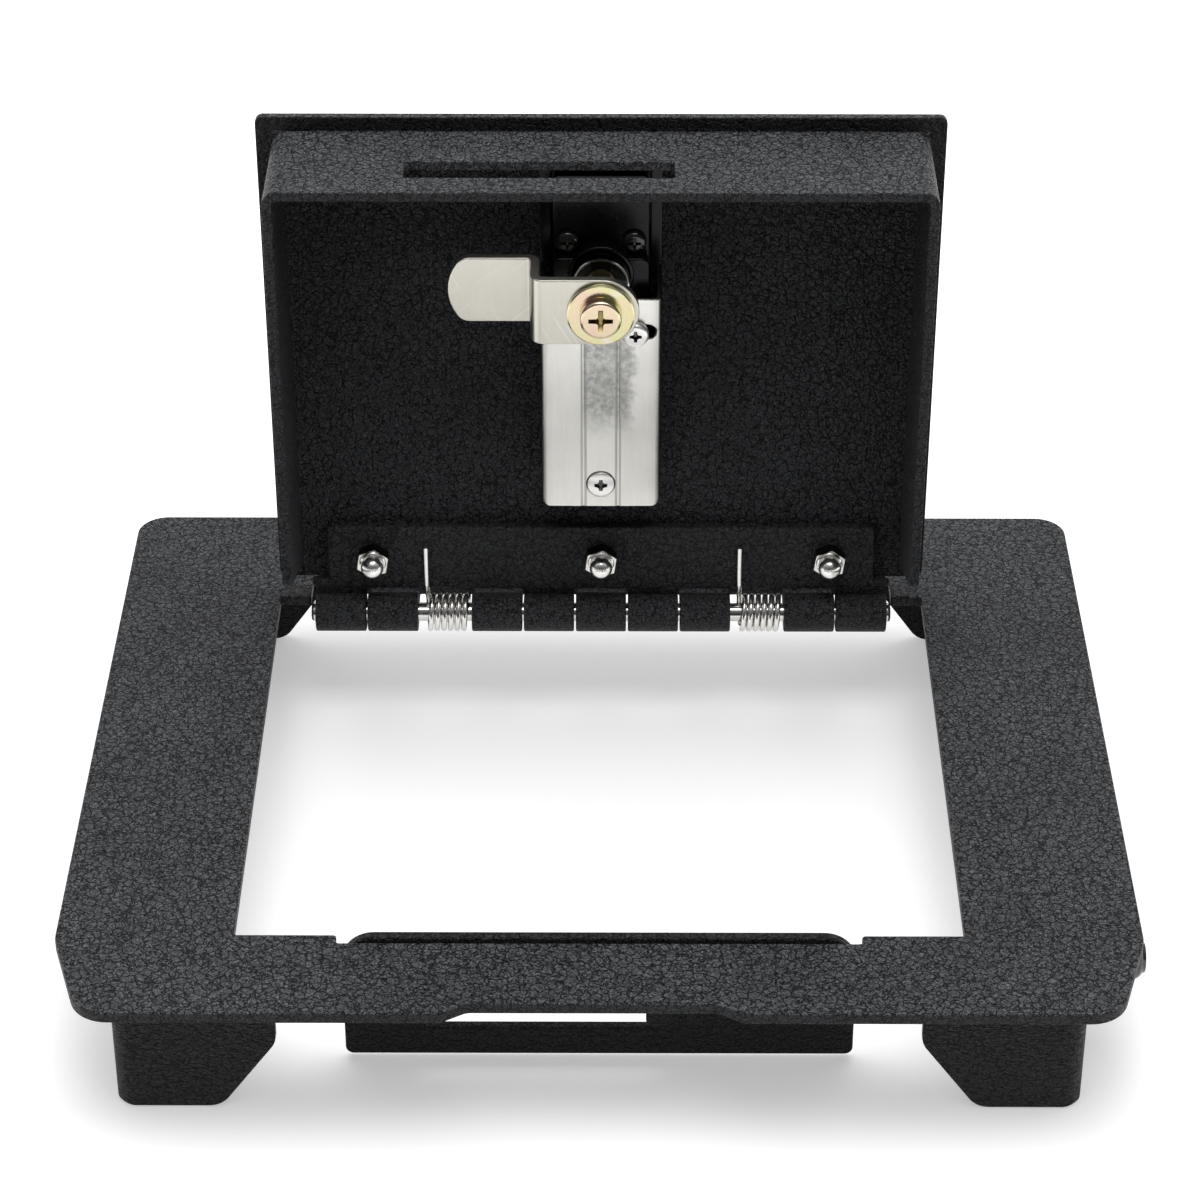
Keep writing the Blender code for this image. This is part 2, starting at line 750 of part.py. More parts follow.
def make_pin(skin, root):
    end = hinge_half + pin_overhang
    profile = [
        (-end, pin_radius - pin_chamfer),
        (-end + pin_chamfer, pin_radius),
        (end - pin_chamfer, pin_radius),
        (end, pin_radius - pin_chamfer),
    ]
    return turned("hinge_pin", "X", (0, 0), profile, skin, root, round_sides, (0, hinge_y, hinge_z))


def eased(points, reach):
    """Path with each inner corner replaced by a short curve of the given reach."""
    path = [points[0]]
    for before, here, after in zip(points, points[1:], points[2:]):
        start = here + (before - here).normalized() * reach
        end = here + (after - here).normalized() * reach
        for step in range(spring_bend_points + 1):
            share = step / spring_bend_points
            path.append(start * (1 - share) ** 2 + here * 2 * share * (1 - share) + end * share ** 2)
    path.append(points[-1])
    return path


def spring_path(place):
    """Lid leg, coil and frame leg of one spring, about the hinge axis."""
    left = knuckle_span(place - 1)[1] + spring_side_gap + spring_wire / 2
    radius = spring_mean_radius
    leg_y = leaf_face - seat_gap - spring_wire / 2
    leg_x = left - spring_leg_shift
    count = round(spring_turns * spring_points_per_turn)
    coil = []
    for index in range(count + 1):
        turn = -2 * math.pi * spring_turns * index / count
        along = left + spring_pitch * spring_turns * index / count
        coil.append(Vector((along, radius * math.cos(turn), radius * math.sin(turn))))
    lid_leg = eased([
        Vector((leg_x, leg_y, spring_lid_reach)),
        Vector((leg_x, leg_y, lid_leaf_near - seat_gap)),
        Vector((left, radius, spring_bend)),
    ], spring_bend)
    last = coil[-1]
    leg_z = frame_leaf_under - seat_gap - spring_wire / 2
    drop = last.z - leg_z
    frame_leg = eased([
        last,
        Vector((last.x, last.y + drop, leg_z)),
        Vector((last.x, spring_frame_reach, leg_z)),
    ], spring_bend)
    return lid_leg + coil + frame_leg[1:]


def least_gap(path):
    """Least distance between turns of a wire, surface to surface."""
    apart = spring_points_per_turn // 2
    gaps = [(path[a] - path[b]).length for a in range(len(path)) for b in range(a + apart, len(path))]
    return min(gaps) - spring_wire


def make_spring(name, place, skin, root):
    path = spring_path(place)
    gap = least_gap(path)
    print(f"{name}: least gap between turns {gap / MM:.2f} mm, wanted over {spring_least_gap / MM:.1f} mm")
    curve = bpy.data.curves.new(name, "CURVE")
    curve.dimensions = "3D"
    curve.bevel_depth = spring_wire / 2
    curve.bevel_resolution = 1
    curve.use_fill_caps = True
    spline = curve.splines.new("POLY")
    spline.points.add(len(path) - 1)
    for point, target in zip(spline.points, path):
        point.co = (*target, 1.0)
    curve.materials.append(skin)
    made = bpy.data.objects.new(name, curve)
    made.location = (0, hinge_y, hinge_z)
    made.parent = root
    bpy.context.collection.objects.link(made)
    return made


def stud_places():
    """Name and place across of the three studs on a hinge leaf."""
    return (("left", -stud_spread), ("middle", 0), ("right", stud_spread))


def make_studs(name, along, low, high, skin, parent, place=(0, 0, 0)):
    profile = [(low, stud_radius - small_edge), (low + small_edge, stud_radius), (high, stud_radius)]
    for side, x in stud_places():
        turned(f"{name}_{side}", "Z", (x, along), profile, skin, parent, small_sides, place)


def make_cap_nut(name, centre, seat, skin, parent):
    """Acorn nut hanging below its seat, with a blind bore from above."""
    mesh_data = bmesh.new()
    sides = nut_sides
    corner = nut_flats / 2 / math.cos(math.pi / 6)
    bore = stud_radius + nut_bore_play
    bore_end = seat - stud_in_nut - nut_bore_play
    hex_end = seat - nut_hex_height
    rings = [
        ring("Z", centre, bore_end, bore, sides),
        ring("Z", centre, seat, bore, sides),
        ring("Z", centre, seat, corner - nut_chamfer, sides, nut_flats),
        ring("Z", centre, seat - nut_chamfer / 2, corner, sides, nut_flats),
        ring("Z", centre, hex_end + nut_chamfer, corner, sides, nut_flats),
        ring("Z", centre, hex_end, nut_flats / 2 - nut_chamfer / 2, sides),
        ring("Z", centre, hex_end, dome_radius, sides),
        ring("Z", centre, hex_end - dome_straight, dome_radius, sides),
    ]
    steps = 4
    for step in range(1, steps + 1):
        rise = math.pi / 2 * step / (steps + 0.5)
        low = hex_end - dome_straight - dome_radius * math.sin(rise)
        rings.append(ring("Z", centre, low, dome_radius * math.cos(rise), sides))
    add_rings(mesh_data, rings)
    return add_mesh(name, mesh_data, skin, parent)


def make_cap_nuts(skin, lid):
    for side, x in stud_places():
        make_cap_nut(f"cap_nut_{side}", (x, -lid_stud_s), leaf_face - seat_gap, skin, lid)


def make_frame_nuts(skin, root):
    seat = frame_leaf_under - seat_gap
    for side, x in stud_places():
        make_plain_nut(f"hinge_nut_{side}", "Z", (x, frame_stud_y), seat - plain_nut_height, seat,
                       nut_flats, stud_radius + nut_bore_play, skin, root, (0, hinge_y, hinge_z))


# Lid, lying closed with its outside up

def make_lid_plate(skin, lid):
    half = lid_width / 2
    front = -(skirt_front + lid_overhang)
    outline = rounded([
        (-half, front, lid_front_radius),
        (half, front, lid_front_radius),
        (half, -lid_notch_edge, lid_front_radius),
        (lid_notch_half, -lid_notch_edge, lid_front_radius),
        (lid_notch_half, -lid_rear_edge, lid_front_radius),
        (-lid_notch_half, -lid_rear_edge, lid_front_radius),
        (-lid_notch_half, -lid_notch_edge, lid_front_radius),
        (-half, -lid_notch_edge, lid_front_radius),
    ])
    plate = prism("lid_plate", outline, "Z", lid_under, lid_top, skin, lid)
    side = housing_half_width + cutout_play
    cutout = box_outline(-side, side, -housing_far - cutout_play, -housing_near + cutout_play, housing_corner)
    cut(plate, prism("lock cutout", cutout, "Z", lid_under - overrun, lid_top + overrun, None, lid))
    return plate


def make_skirt(skin, lid):
    outer = skirt_width / 2
    inner = outer - skirt_thick
    front = -skirt_front
    inner_bend = skirt_radius - skirt_thick
    plan = rounded([
        (-outer, 0),
        (-outer, front, skirt_radius),
        (outer, front, skirt_radius),
        (outer, 0),
        (inner, 0),
        (inner, front + skirt_thick, inner_bend),
        (-inner, front + skirt_thick, inner_bend),
        (-inner, 0),
    ])
    top = lid_under - seat_gap
    skirt = prism("lid_skirt", plan, "Z", skirt_rim, top, skin, lid)
    kept = rounded([
        (front - overrun, top + overrun),
        (front - overrun, skirt_rim - overrun),
        (-skirt_end_rim - skirt_end_radius, skirt_rim - overrun),
        (-skirt_end_rim - skirt_end_radius, skirt_rim),
        (-skirt_end_rim, skirt_rim, skirt_end_radius),
        (-skirt_end_top, top),
        (-skirt_end_top, top + overrun),
    ])
    keep_inside(skirt, prism("skirt side view", kept, "X", -outer - overrun, outer + overrun, None, lid))
    slot_middle = cam_thick / 2 - cam_tongue_drop - bolt_slot_shift
    slot = box_outline(bolt_slot_left, bolt_slot_right, slot_middle - bolt_slot_height / 2,
                       slot_middle + bolt_slot_height / 2)
    cut(skirt, prism("bolt slot", slot, "Y", front - overrun, front + skirt_thick + overrun, None, lid))
    return skirt


# Lock

def dial_places():
    return [dial_first_s + dial_pitch * index for index in range(dial_count)]


def dial_bay():
    """Near and far end of the space for the dials, along the lid."""
    reach = dial_width / 2 + dial_play
    return dial_places()[0] - reach, dial_places()[-1] + reach


def make_housing(skin, lid):
    outline = box_outline(-housing_half_width, housing_half_width, -housing_far, -housing_near,
                          housing_corner)
    housing = prism("lock_housing", outline, "Z", -housing_drop, lid_top, skin, lid)
    step = box_outline(-housing_half_width - overrun, housing_half_width + overrun,
                       -housing_far - overrun, -housing_step_s)
    cut(housing, prism("housing step", step, "Z", -housing_drop - overrun, housing_step - housing_drop,
                       None, lid))
    centre = (0, -lock_s)
    boss = circle(boss_radius, round_sides, centre)
    unite(housing, prism("housing boss", boss, "Z", -boss_drop, lid_under, None, lid))
    posts = bmesh.new()
    post_low = cover_thick + seat_gap - cover_drop
    for x, s in ((0, cover_screw_s), (cover_side_screw_x, cover_side_screw_s)):
        add_prism(posts, circle(post_radius, small_sides, (x, -s)), "Z", post_low, small_edge - housing_drop)
    unite(housing, add_mesh("housing posts", posts, None, lid))
    near, far = dial_bay()
    bay_side = dial_radius + dial_play
    bay_floor = dial_height - dial_radius - dial_play
    bay = box_outline(-bay_side, bay_side, -far, -near)
    cut(housing, prism("dial bay", bay, "Z", bay_floor, lid_top + overrun, None, lid))
    shaft_bore = circle(dial_shaft_radius + seat_gap, small_sides, (0, dial_height))
    seat = dial_shaft_seat + seat_gap
    cut(housing, prism("shaft bore", shaft_bore, "Y", -far - seat, -near + seat, None, lid))
    barrel_bore_plan = circle(barrel_radius + seat_gap, round_sides, centre)
    cut(housing, prism("barrel bore", barrel_bore_plan, "Z", -cover_drop, lid_top + overrun, None, lid))
    holes = bmesh.new()
    hole = small_shank_radius + small_hole_play
    for x in (-housing_screw_x, housing_screw_x):
        add_prism(holes, circle(hole, small_sides, (x, -housing_screw_s)), "Z",
                  -cover_drop, lid_top + overrun)
    for x, s in ((0, cover_screw_s), (cover_side_screw_x, cover_side_screw_s)):
        add_prism(holes, circle(hole, small_sides, (x, -s)), "Z", post_low - overrun,
                  post_low + cover_shank_length)
    cut(housing, add_mesh("housing holes", holes, None, lid))
    return housing


def make_clamp(skin, lid):
    inner = housing_half_width + cutout_play
    outline = rounded([
        (-clamp_half_width, -clamp_far, housing_corner),
        (clamp_half_width, -clamp_far, housing_corner),
        (clamp_half_width, -clamp_near),
        (inner, -clamp_near),
        (inner, -housing_far - cutout_play),
        (-inner, -housing_far - cutout_play),
        (-inner, -clamp_near),
        (-clamp_half_width, -clamp_near),
    ])
    top = lid_under - seat_gap
    return prism("lock_clamp", outline, "Z", top - clamp_thick, top, skin, lid)


def make_bezel(skin, lid):
    outline = box_outline(-bezel_half_width, bezel_half_width, -bezel_far, -bezel_near, bezel_corner)
    bezel = prism("lock_bezel", outline, "Z", bezel_under, bezel_top, skin, lid)
    openings = bmesh.new()
    for s in dial_places():
        reach = dial_width / 2 + dial_play / 2
        window = box_outline(-bezel_window_half, bezel_window_half, -s - reach, -s + reach)
        add_prism(openings, window, "Z", bezel_under - overrun, bezel_top + overrun)
    spindle_hole = circle(barrel_bore, round_sides, (0, -lock_s))
    add_prism(openings, spindle_hole, "Z", bezel_under - overrun, bezel_top + overrun)
    hole = small_shank_radius + small_hole_play
    for x in (-housing_screw_x, housing_screw_x):
        add_prism(openings, circle(hole, small_sides, (x, -housing_screw_s)), "Z",
                  bezel_under - overrun, bezel_under + bezel_thick / 2)
    cut(bezel, add_mesh("bezel openings", openings, None, lid))
    return bezel


def make_barrel(skin, lid):
    recess_radius_end = barrel_radius - barrel_rim
    low = -barrel_drop
    loops = [
        (lid_top, barrel_bore),
        (low + barrel_recess, barrel_bore),
        (low + barrel_recess, recess_radius_end),
        (low, recess_radius_end),
        (low, barrel_radius - small_edge),
        (low + small_edge, barrel_radius),
        (lid_top, barrel_radius),
    ]
    rings = [ring("Z", (0, -lock_s), along, radius, round_sides) for along, radius in loops]
    return hollow("lock_barrel", rings, skin, lid)


def make_dial_shaft(skin, lid):
    near, far = dial_bay()
    low = -far - dial_shaft_seat
    high = -near + dial_shaft_seat
    profile = [(low, dial_shaft_radius - small_edge), (low + small_edge, dial_shaft_radius),
               (high - small_edge, dial_shaft_radius), (high, dial_shaft_radius - small_edge)]
    return turned("dial_shaft", "Y", (0, dial_height), profile, skin, lid, small_sides)


def make_dial(index, s, skin, lid):
    """Number wheel with a groove between each pair of its ten faces."""
    outline = []
    for lobe in range(dial_lobes):
        for point in range(dial_points_per_lobe):
            turn = 2 * math.pi * (lobe + point / dial_points_per_lobe) / dial_lobes
            reach = dial_radius - (dial_groove if point == 0 else 0)
            outline.append((reach * math.cos(turn), reach * math.sin(turn)))
    half = dial_width / 2
    dial = prism(f"dial_{index}", outline, "Y", -half, half, skin, lid, (0, -s, dial_height))
    bore = prism(f"dial bore {index}", circle(dial_bore, small_sides), "Y", -half - overrun, half + overrun,
                 None, lid, (0, -s, dial_height))
    return cut(dial, bore)


def channel_profile():
    """Cross-section of the cover: a channel whose web faces down into the safe."""
    outer = cover_half_width
    inner = outer - cover_thick
    feet = lid_under - seat_gap
    inner_bend = cover_bend - cover_thick
    return rounded([
        (-outer, feet),
        (-outer, -cover_drop, cover_bend),
        (outer, -cover_drop, cover_bend),
        (outer, feet),
        (inner, feet),
        (inner, cover_thick - cover_drop, inner_bend),
        (-inner, cover_thick - cover_drop, inner_bend),
        (-inner, feet),
    ])


def make_cover(skin, lid):
    cover = prism("lock_cover", channel_profile(), "Y", -cover_far, -cover_near, skin, lid)
    mouth = circle(cover_mouth_radius, round_sides, (0, -lock_s))
    low = -cover_drop - overrun
    cut(cover, prism("cover mouth", mouth, "Z", low, cover_thick - cover_drop + overrun, None, lid))
    grooves = bmesh.new()
    for side in (-1, 1):
        middle = side * groove_half_spread
        groove = box_outline(middle - groove_width / 2, middle + groove_width / 2, -lock_s, -groove_end)
        add_prism(grooves, groove, "Z", low, groove_depth - cover_drop)
    cut(cover, add_mesh("cover grooves", grooves, None, lid))
    holes = bmesh.new()
    through = cover_thick - cover_drop + overrun
    add_prism(holes, circle(small_shank_radius + small_hole_play, small_sides, (0, -cover_screw_s)),
              "Z", low, through)
    slot = box_outline(cover_slot_x - cover_slot_half_length, cover_slot_x + cover_slot_half_length,
                       -cover_side_screw_s - cover_slot_radius, -cover_side_screw_s + cover_slot_radius,
                       cover_slot_radius - small_edge)
    add_prism(holes, slot, "Z", low, through)
    cut(cover, add_mesh("cover holes", holes, None, lid))
    return cover


def add_cross(mesh_data, centre, low, high, head_radius):
    """Cross recess as one solid outline."""
    reach = head_radius * recess_share
    half = head_radius * recess_width_share / 2
    outline = [
        (half, reach), (half, half), (reach, half), (reach, -half), (half, -half), (half, -reach),
        (-half, -reach), (-half, -half), (-reach, -half), (-reach, half), (-half, half), (-half, reach),
    ]
    add_prism(mesh_data, [(centre[0] + a, centre[1] + b) for a, b in outline], "Z", low, high)


def make_screw(name, centre, seat, head_radius, head_height, shank_radius, shank_length, skin, parent):
    """Round-headed screw whose head hangs below its seat, with a cross recess."""
    face = seat - head_height
    steps = 3
    profile = [(seat + shank_length, shank_radius), (seat, shank_radius), (seat, head_radius)]
    for step in range(steps + 1):
        rise = math.pi / 2 * step / (steps + 1)
        low = seat - head_height / 2 - head_height / 2 * math.sin(rise)
        profile.append((low, head_radius - head_height * (1 - math.cos(rise))))
    profile.append((face, head_radius - head_height))
    made = turned(name, "Z", centre, profile, skin, parent, small_sides)
    recess = bmesh.new()
    add_cross(recess, centre, face - overrun, face + head_height * recess_depth_share, head_radius)
    return cut(made, add_mesh(name + " recess", recess, None, parent))


# Cam and what turns with it

def cam_profile():
    """Side view of the stepped cam: tongue, riser and base."""
    outer = cam_bend_radius + cam_thick
    tongue_low = -cam_tongue_drop
    tongue_high = tongue_low + cam_thick
    base_low = -cam_base_drop
    base_high = base_low + cam_thick
    near = cam_riser_x - cam_thick / 2
    far = cam_riser_x + cam_thick / 2
    left = -cam_reach - overrun
    right = cam_end_x + overrun
    return rounded([
        (left, tongue_high),
        (far, tongue_high, outer),
        (far, base_high, cam_bend_radius),
        (right, base_high),
        (right, base_low),
        (near, base_low, outer),
        (near, tongue_low, cam_bend_radius),
        (left, tongue_low),
    ])


def cam_plan():
    """Plan of the cam: a bowed tip on the left and a round end under the screw."""
    half = cam_half_width
    steps = 10
    spread = math.asin(half / cam_tip_radius)
    tip = []
    for step in range(steps + 1):
        turn = spread - 2 * spread * step / steps
        tip.append((-cam_reach + cam_tip_radius * (1 - math.cos(turn)), cam_tip_radius * math.sin(turn)))
    tip[0] = (*tip[0], cam_tip_corner)
    tip[-1] = (*tip[-1], cam_tip_corner)
    end_centre = cam_end_x - half
    end = []
    for step in range(steps * 2 + 1):
        turn = -math.pi / 2 + math.pi * step / (steps * 2)
        end.append((end_centre + half * math.cos(turn), half * math.sin(turn)))
    return rounded(tip + end)


def make_cam(skin, turn):
    cam = prism("lock_cam", cam_profile(), "Y", -cam_half_width - overrun, cam_half_width + overrun, skin,
                turn)
    keep_inside(cam, prism("cam plan", cam_plan(), "Z", -cam_base_drop - overrun, 0, None, turn))
    hole = tail_half + cam_hole_play
    square = box_outline(-hole, hole, -hole, hole)
    cut(cam, prism("cam hole", square, "Z", -cam_base_drop - overrun, cam_thick + overrun - cam_base_drop,
                   None, turn))
    return cam


def make_spindle(skin, turn):
    """Round body in the barrel, square tail through the cam, threaded end for the screw."""
    shoulder = barrel_recess + seat_gap - barrel_drop
    body_top = knob_under + knob_height - knob_roof
    body = turned("lock_spindle", "Z", (0, 0), [
        (shoulder, spindle_radius - small_edge),
        (shoulder + small_edge, spindle_radius),
        (body_top, spindle_radius),
    ], skin, turn)
    tail = box_outline(-tail_half, tail_half, -tail_half, tail_half)
    tail_low = seat_gap - cam_base_drop
    unite(body, prism("spindle tail", tail, "Z", tail_low, shoulder + overrun, None, turn))
    hole = circle(tail_hole_radius, small_sides)
    cut(body, prism("spindle thread", hole, "Z", tail_low - overrun, tail_low + cam_shank_length, None, turn))
    return body


def make_washer(skin, turn):
    high = -cam_base_drop - seat_gap
    low = high - washer_thick
    loops = [(high, washer_bore), (high, washer_radius), (low + small_edge, washer_radius),
             (low, washer_radius - small_edge), (low, washer_bore)]
    rings = [ring("Z", (0, 0), along, radius, round_sides) for along, radius in loops]
    return hollow("cam_washer", rings, skin, turn)


def make_knob(skin, turn):
    low = knob_under
    base_top = low + knob_base_height
    knob = turned("lock_knob", "Z", (0, 0), [
        (low, knob_radius),
        (base_top - knob_edge, knob_radius),
        (base_top, knob_radius - knob_edge),
    ], skin, turn)
    grip = box_outline(-knob_grip_length, knob_grip_length, -knob_grip_half, knob_grip_half,
                       knob_grip_half - knob_edge)
    unite(knob, prism("knob grip", grip, "Z", base_top - knob_edge, low + knob_height, None, turn))
    bore = circle(spindle_radius + seat_gap, round_sides)
    roof = low + knob_height - knob_roof + seat_gap
    cut(knob, prism("knob bore", bore, "Z", low - overrun, roof, None, turn))
    return knob


def make_frame(skins, root):
    make_frame_plate(skins["coat"], root)
    for name, side, front in (("leg_front_left", -1, 1), ("leg_front_right", 1, 1),
                              ("leg_rear_left", -1, -1), ("leg_rear_right", 1, -1)):
        make_leg(name, side, front, skins["coat"], root)
    make_strike(skins["coat"], root)
    make_bolt_stop(skins["coat"], root)
    make_side_screw(skins["black_steel"], root)
    make_side_nuts(skins["black_steel"], root)
    make_frame_leaf(skins["coat"], root)
    make_pin(skins["steel"], root)
    make_spring("spring_left", spring_places[0], skins["steel"], root)
    make_spring("spring_right", spring_places[1], skins["steel"], root)
    axis = (0, hinge_y, hinge_z)
    stud_end = frame_leaf_under - seat_gap - plain_nut_height
    make_studs("hinge_stud", frame_stud_y, stud_end, frame_leaf_top, skins["steel"], root, axis)
    make_frame_nuts(skins["steel"], root)


def make_lid(skins, lid):
    make_lid_plate(skins["coat"], lid)
    make_skirt(skins["coat"], lid)
    make_lid_leaf(skins["coat"], lid)
    stud_end = leaf_face - seat_gap - stud_in_nut
    make_studs("lid_stud", -lid_stud_s, stud_end, leaf_top, skins["steel"], lid)
    make_cap_nuts(skins["steel"], lid)
    make_housing(skins["lock_black"], lid)
    make_clamp(skins["lock_black"], lid)
    make_bezel(skins["lock_black"], lid)
    make_barrel(skins["chrome"], lid)
    make_dial_shaft(skins["steel"], lid)
    make_cover(skins["stainless"], lid)
    for name, centre in (("cover_screw_lower", (0, -cover_screw_s)),
                         ("cover_screw_upper", (cover_side_screw_x, -cover_side_screw_s))):
        make_screw(name, centre, -cover_drop - seat_gap, pan_radius, pan_height, small_shank_radius,
                   cover_shank_length, skins["steel"], lid)
    seat = housing_step - housing_drop - seat_gap
    bite = bezel_under + bezel_thick / 2 - seat_gap
    for name, x in (("housing_screw_left", -housing_screw_x), ("housing_screw_right", housing_screw_x)):
        make_screw(name, (x, -housing_screw_s), seat, black_radius, black_height, small_shank_radius,
                   bite - seat, skins["black_steel"], lid)
    for index, s in enumerate(dial_places(), start=1):
        make_dial(index, s, skins["lock_black"], lid)


def make_lock_turn(skins, turn):
    make_cam(skins["stainless"], turn)
    make_spindle(skins["steel"], turn)
    make_washer(skins["zinc"], turn)
    seat = -cam_base_drop - seat_gap - washer_thick - seat_gap
    make_screw("cam_screw", (0, 0), seat, cam_screw_radius, cam_screw_height, cam_shank_radius,
               cam_shank_length, skins["zinc"], turn)
    make_knob(skins["lock_black"], turn)


def main():
    clear_scene()
    skins = {
        "coat": material("coat", (0.035, 0.036, 0.038), 0.7, 0.0),
        "black_steel": material("black_steel", (0.02, 0.02, 0.02), 0.4, 0.6),
        "lock_black": material("lock_black", (0.012, 0.012, 0.012), 0.35, 0.0),
        "steel": material("steel", (0.62, 0.62, 0.6), 0.25, 1.0),
        "stainless": material("stainless", (0.6, 0.58, 0.54), 0.38, 1.0),
        "chrome": material("chrome", (0.75, 0.75, 0.75), 0.12, 1.0),
        "zinc": material("zinc", (0.78, 0.66, 0.38), 0.25, 1.0),
    }
    right_reach = max(plate_width / 2, side_screw_end)
    centre_x = (right_reach - plate_width / 2) / 2
    root = empty("console_safe", (-centre_x, -plate_depth / 2, 0))
    lid = empty("lid_hinge", (0, hinge_y, hinge_z), root, -math.pi / 2)
    turn = empty("lock_turn", (0, -lock_s, 0), lid)
    make_frame(skins, root)
    make_lid(skins, lid)
    make_lock_turn(skins, turn)
    bpy.context.view_layer.update()


main()
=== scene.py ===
from math import acos, asin, atan2, ceil, cos, pi, radians, sin, sqrt, tan

import bmesh
import bpy
from mathutils import Matrix, Vector
from mathutils.geometry import tessellate_polygon


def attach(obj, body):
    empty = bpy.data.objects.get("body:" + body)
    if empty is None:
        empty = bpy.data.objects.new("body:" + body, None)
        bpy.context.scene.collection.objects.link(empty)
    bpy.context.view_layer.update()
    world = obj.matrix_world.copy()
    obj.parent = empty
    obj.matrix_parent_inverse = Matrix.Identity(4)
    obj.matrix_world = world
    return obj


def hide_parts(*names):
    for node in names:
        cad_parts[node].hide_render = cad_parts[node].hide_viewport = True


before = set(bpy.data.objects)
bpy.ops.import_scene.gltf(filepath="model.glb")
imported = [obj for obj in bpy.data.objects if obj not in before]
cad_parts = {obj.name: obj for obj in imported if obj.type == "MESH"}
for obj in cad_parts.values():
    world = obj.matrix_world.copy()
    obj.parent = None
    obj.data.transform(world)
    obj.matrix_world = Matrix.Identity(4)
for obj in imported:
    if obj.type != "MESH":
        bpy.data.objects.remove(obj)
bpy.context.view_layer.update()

# Lengths are in millimetres, in the frame of the drawing: X to the right, Y to the rear, Z up. The lid and
# its lock are drawn lying down: hinge axis at 0, -Y away from the hinge, Z towards the lid's outer face.
MM = 0.001
RIGHT = pi / 2
FULL = 2 * pi

ARC = radians(7.5)    # longest step of an arc
ROUND = 64            # sides of a turned piece
EDGE = 0.5            # rounding of coated sheet edges
GAP = 0.3             # clearance between solids
SMOOTH = radians(35)  # faces that meet at less than this shade as one

MIDDLE_X, MIDDLE_Y = 0.65, 107.75  # middle of the solids' box
HINGE_Y, HINGE_Z = 173.5, 32.1
LOCK_S = 107.5                     # the lock's axis, from the hinge
ROOT = Matrix.Scale(MM, 4) @ Matrix.Translation((-MIDDLE_X, -MIDDLE_Y, 0))
AXIS = ROOT @ Matrix.Translation((0, HINGE_Y, HINGE_Z))
LID = AXIS @ Matrix.Rotation(-RIGHT, 4, "X")
TURN = LID @ Matrix.Translation((0, -LOCK_S, 0))


# Shapes

def toward(turn):
    return Vector((cos(turn), sin(turn)))


def left_of(turn):
    return Vector((-sin(turn), cos(turn)))


def spaced(start, reach, steps):
    """Values at even steps over a reach, with both its ends."""
    return [start + reach * step / steps for step in range(steps + 1)]


def rounded(corners):
    """Outline through (a, b, radius) corners, each turned by an arc of its radius."""
    points = []
    for index, corner in enumerate(corners):
        here = Vector(corner[:2])
        radius = corner[2] if len(corner) > 2 else 0
        if not radius:
            points.append(here)
            continue
        back = (Vector(corners[index - 1][:2]) - here).normalized()
        ahead = (Vector(corners[(index + 1) % len(corners)][:2]) - here).normalized()
        half = back.angle(ahead) / 2
        middle = here + (back + ahead).normalized() * (radius / sin(half))
        first = here + back * (radius / tan(half)) - middle
        sweep = first.angle_signed(here + ahead * (radius / tan(half)) - middle)
        turns = spaced(atan2(first.y, first.x), -sweep, max(3, ceil(abs(sweep) / ARC)))
        points += [middle + radius * toward(turn) for turn in turns]
    return points


def box(left, right, low, high, radius=0):
    return rounded([(x, y, radius) for x, y in ((left, low), (right, low), (right, high), (left, high))])


def circle(radius, x=0, y=0, sides=ROUND, start=0.0, sweep=FULL):
    """Points round a circle, or along an arc of it."""
    turns = spaced(start, sweep, sides)
    if sweep == FULL:
        turns.pop()
    return [Vector((x + radius * cos(t), y + radius * sin(t))) for t in turns]


def area(points):
    return sum(a.x * b.y - b.x * a.y for a, b in zip(points, points[1:] + points[:1])) / 2


def inset(points, distance):
    """Outline moved to its left by a distance, mitred at its corners."""
    moved = []
    for index, here in enumerate(points):
        ahead = (points[(index + 1) % len(points)] - here).normalized()
        behind = (here - points[index - 1]).normalized()
        a = Vector((-behind.y, behind.x))
        b = Vector((-ahead.y, ahead.x))
        moved.append(here + (a + b) * (distance / max(0.2, 1 + a.dot(b))))
    return moved


def band(data, low, high):
    """Faces between two rings of as many points."""
    for index in range(len(low)):
        follow = (index + 1) % len(low)
        data.faces.new((low[index], low[follow], high[follow], high[index]))


def sheet(outer, holes, thick, edge=EDGE, steps=3):
    """Flat plate from 0 to thick with every edge rounded."""
    data = bmesh.new()
    loops = [outer if area(outer) > 0 else outer[::-1]]
    loops += [hole if area(hole) < 0 else hole[::-1] for hole in holes]
    rows = [(edge * (1 - sin(turn)), edge * (1 - cos(turn))) for turn in spaced(0, RIGHT, steps)]
    rows += [(away, thick - height) for away, height in reversed(rows)]
    caps = [[], []]
    for loop in loops:
        rings = [[data.verts.new((p.x, p.y, height)) for p in inset(loop, away)] for away, height in rows]
        for low, high in zip(rings, rings[1:]):
            band(data, low, high)
        caps[0] += rings[0]
        caps[1] += rings[-1]
    flat = [[Vector((*p, 0)) for p in inset(loop, edge)] for loop in loops]
    for triangle in tessellate_polygon(flat):
        for cap in caps:
            data.faces.new([cap[index] for index in triangle])
    return data


def plate(outer, holes, low, high, edge=EDGE, steps=3):
    return placed(sheet(outer, holes, high - low, edge, steps), shift(0, 0, low))


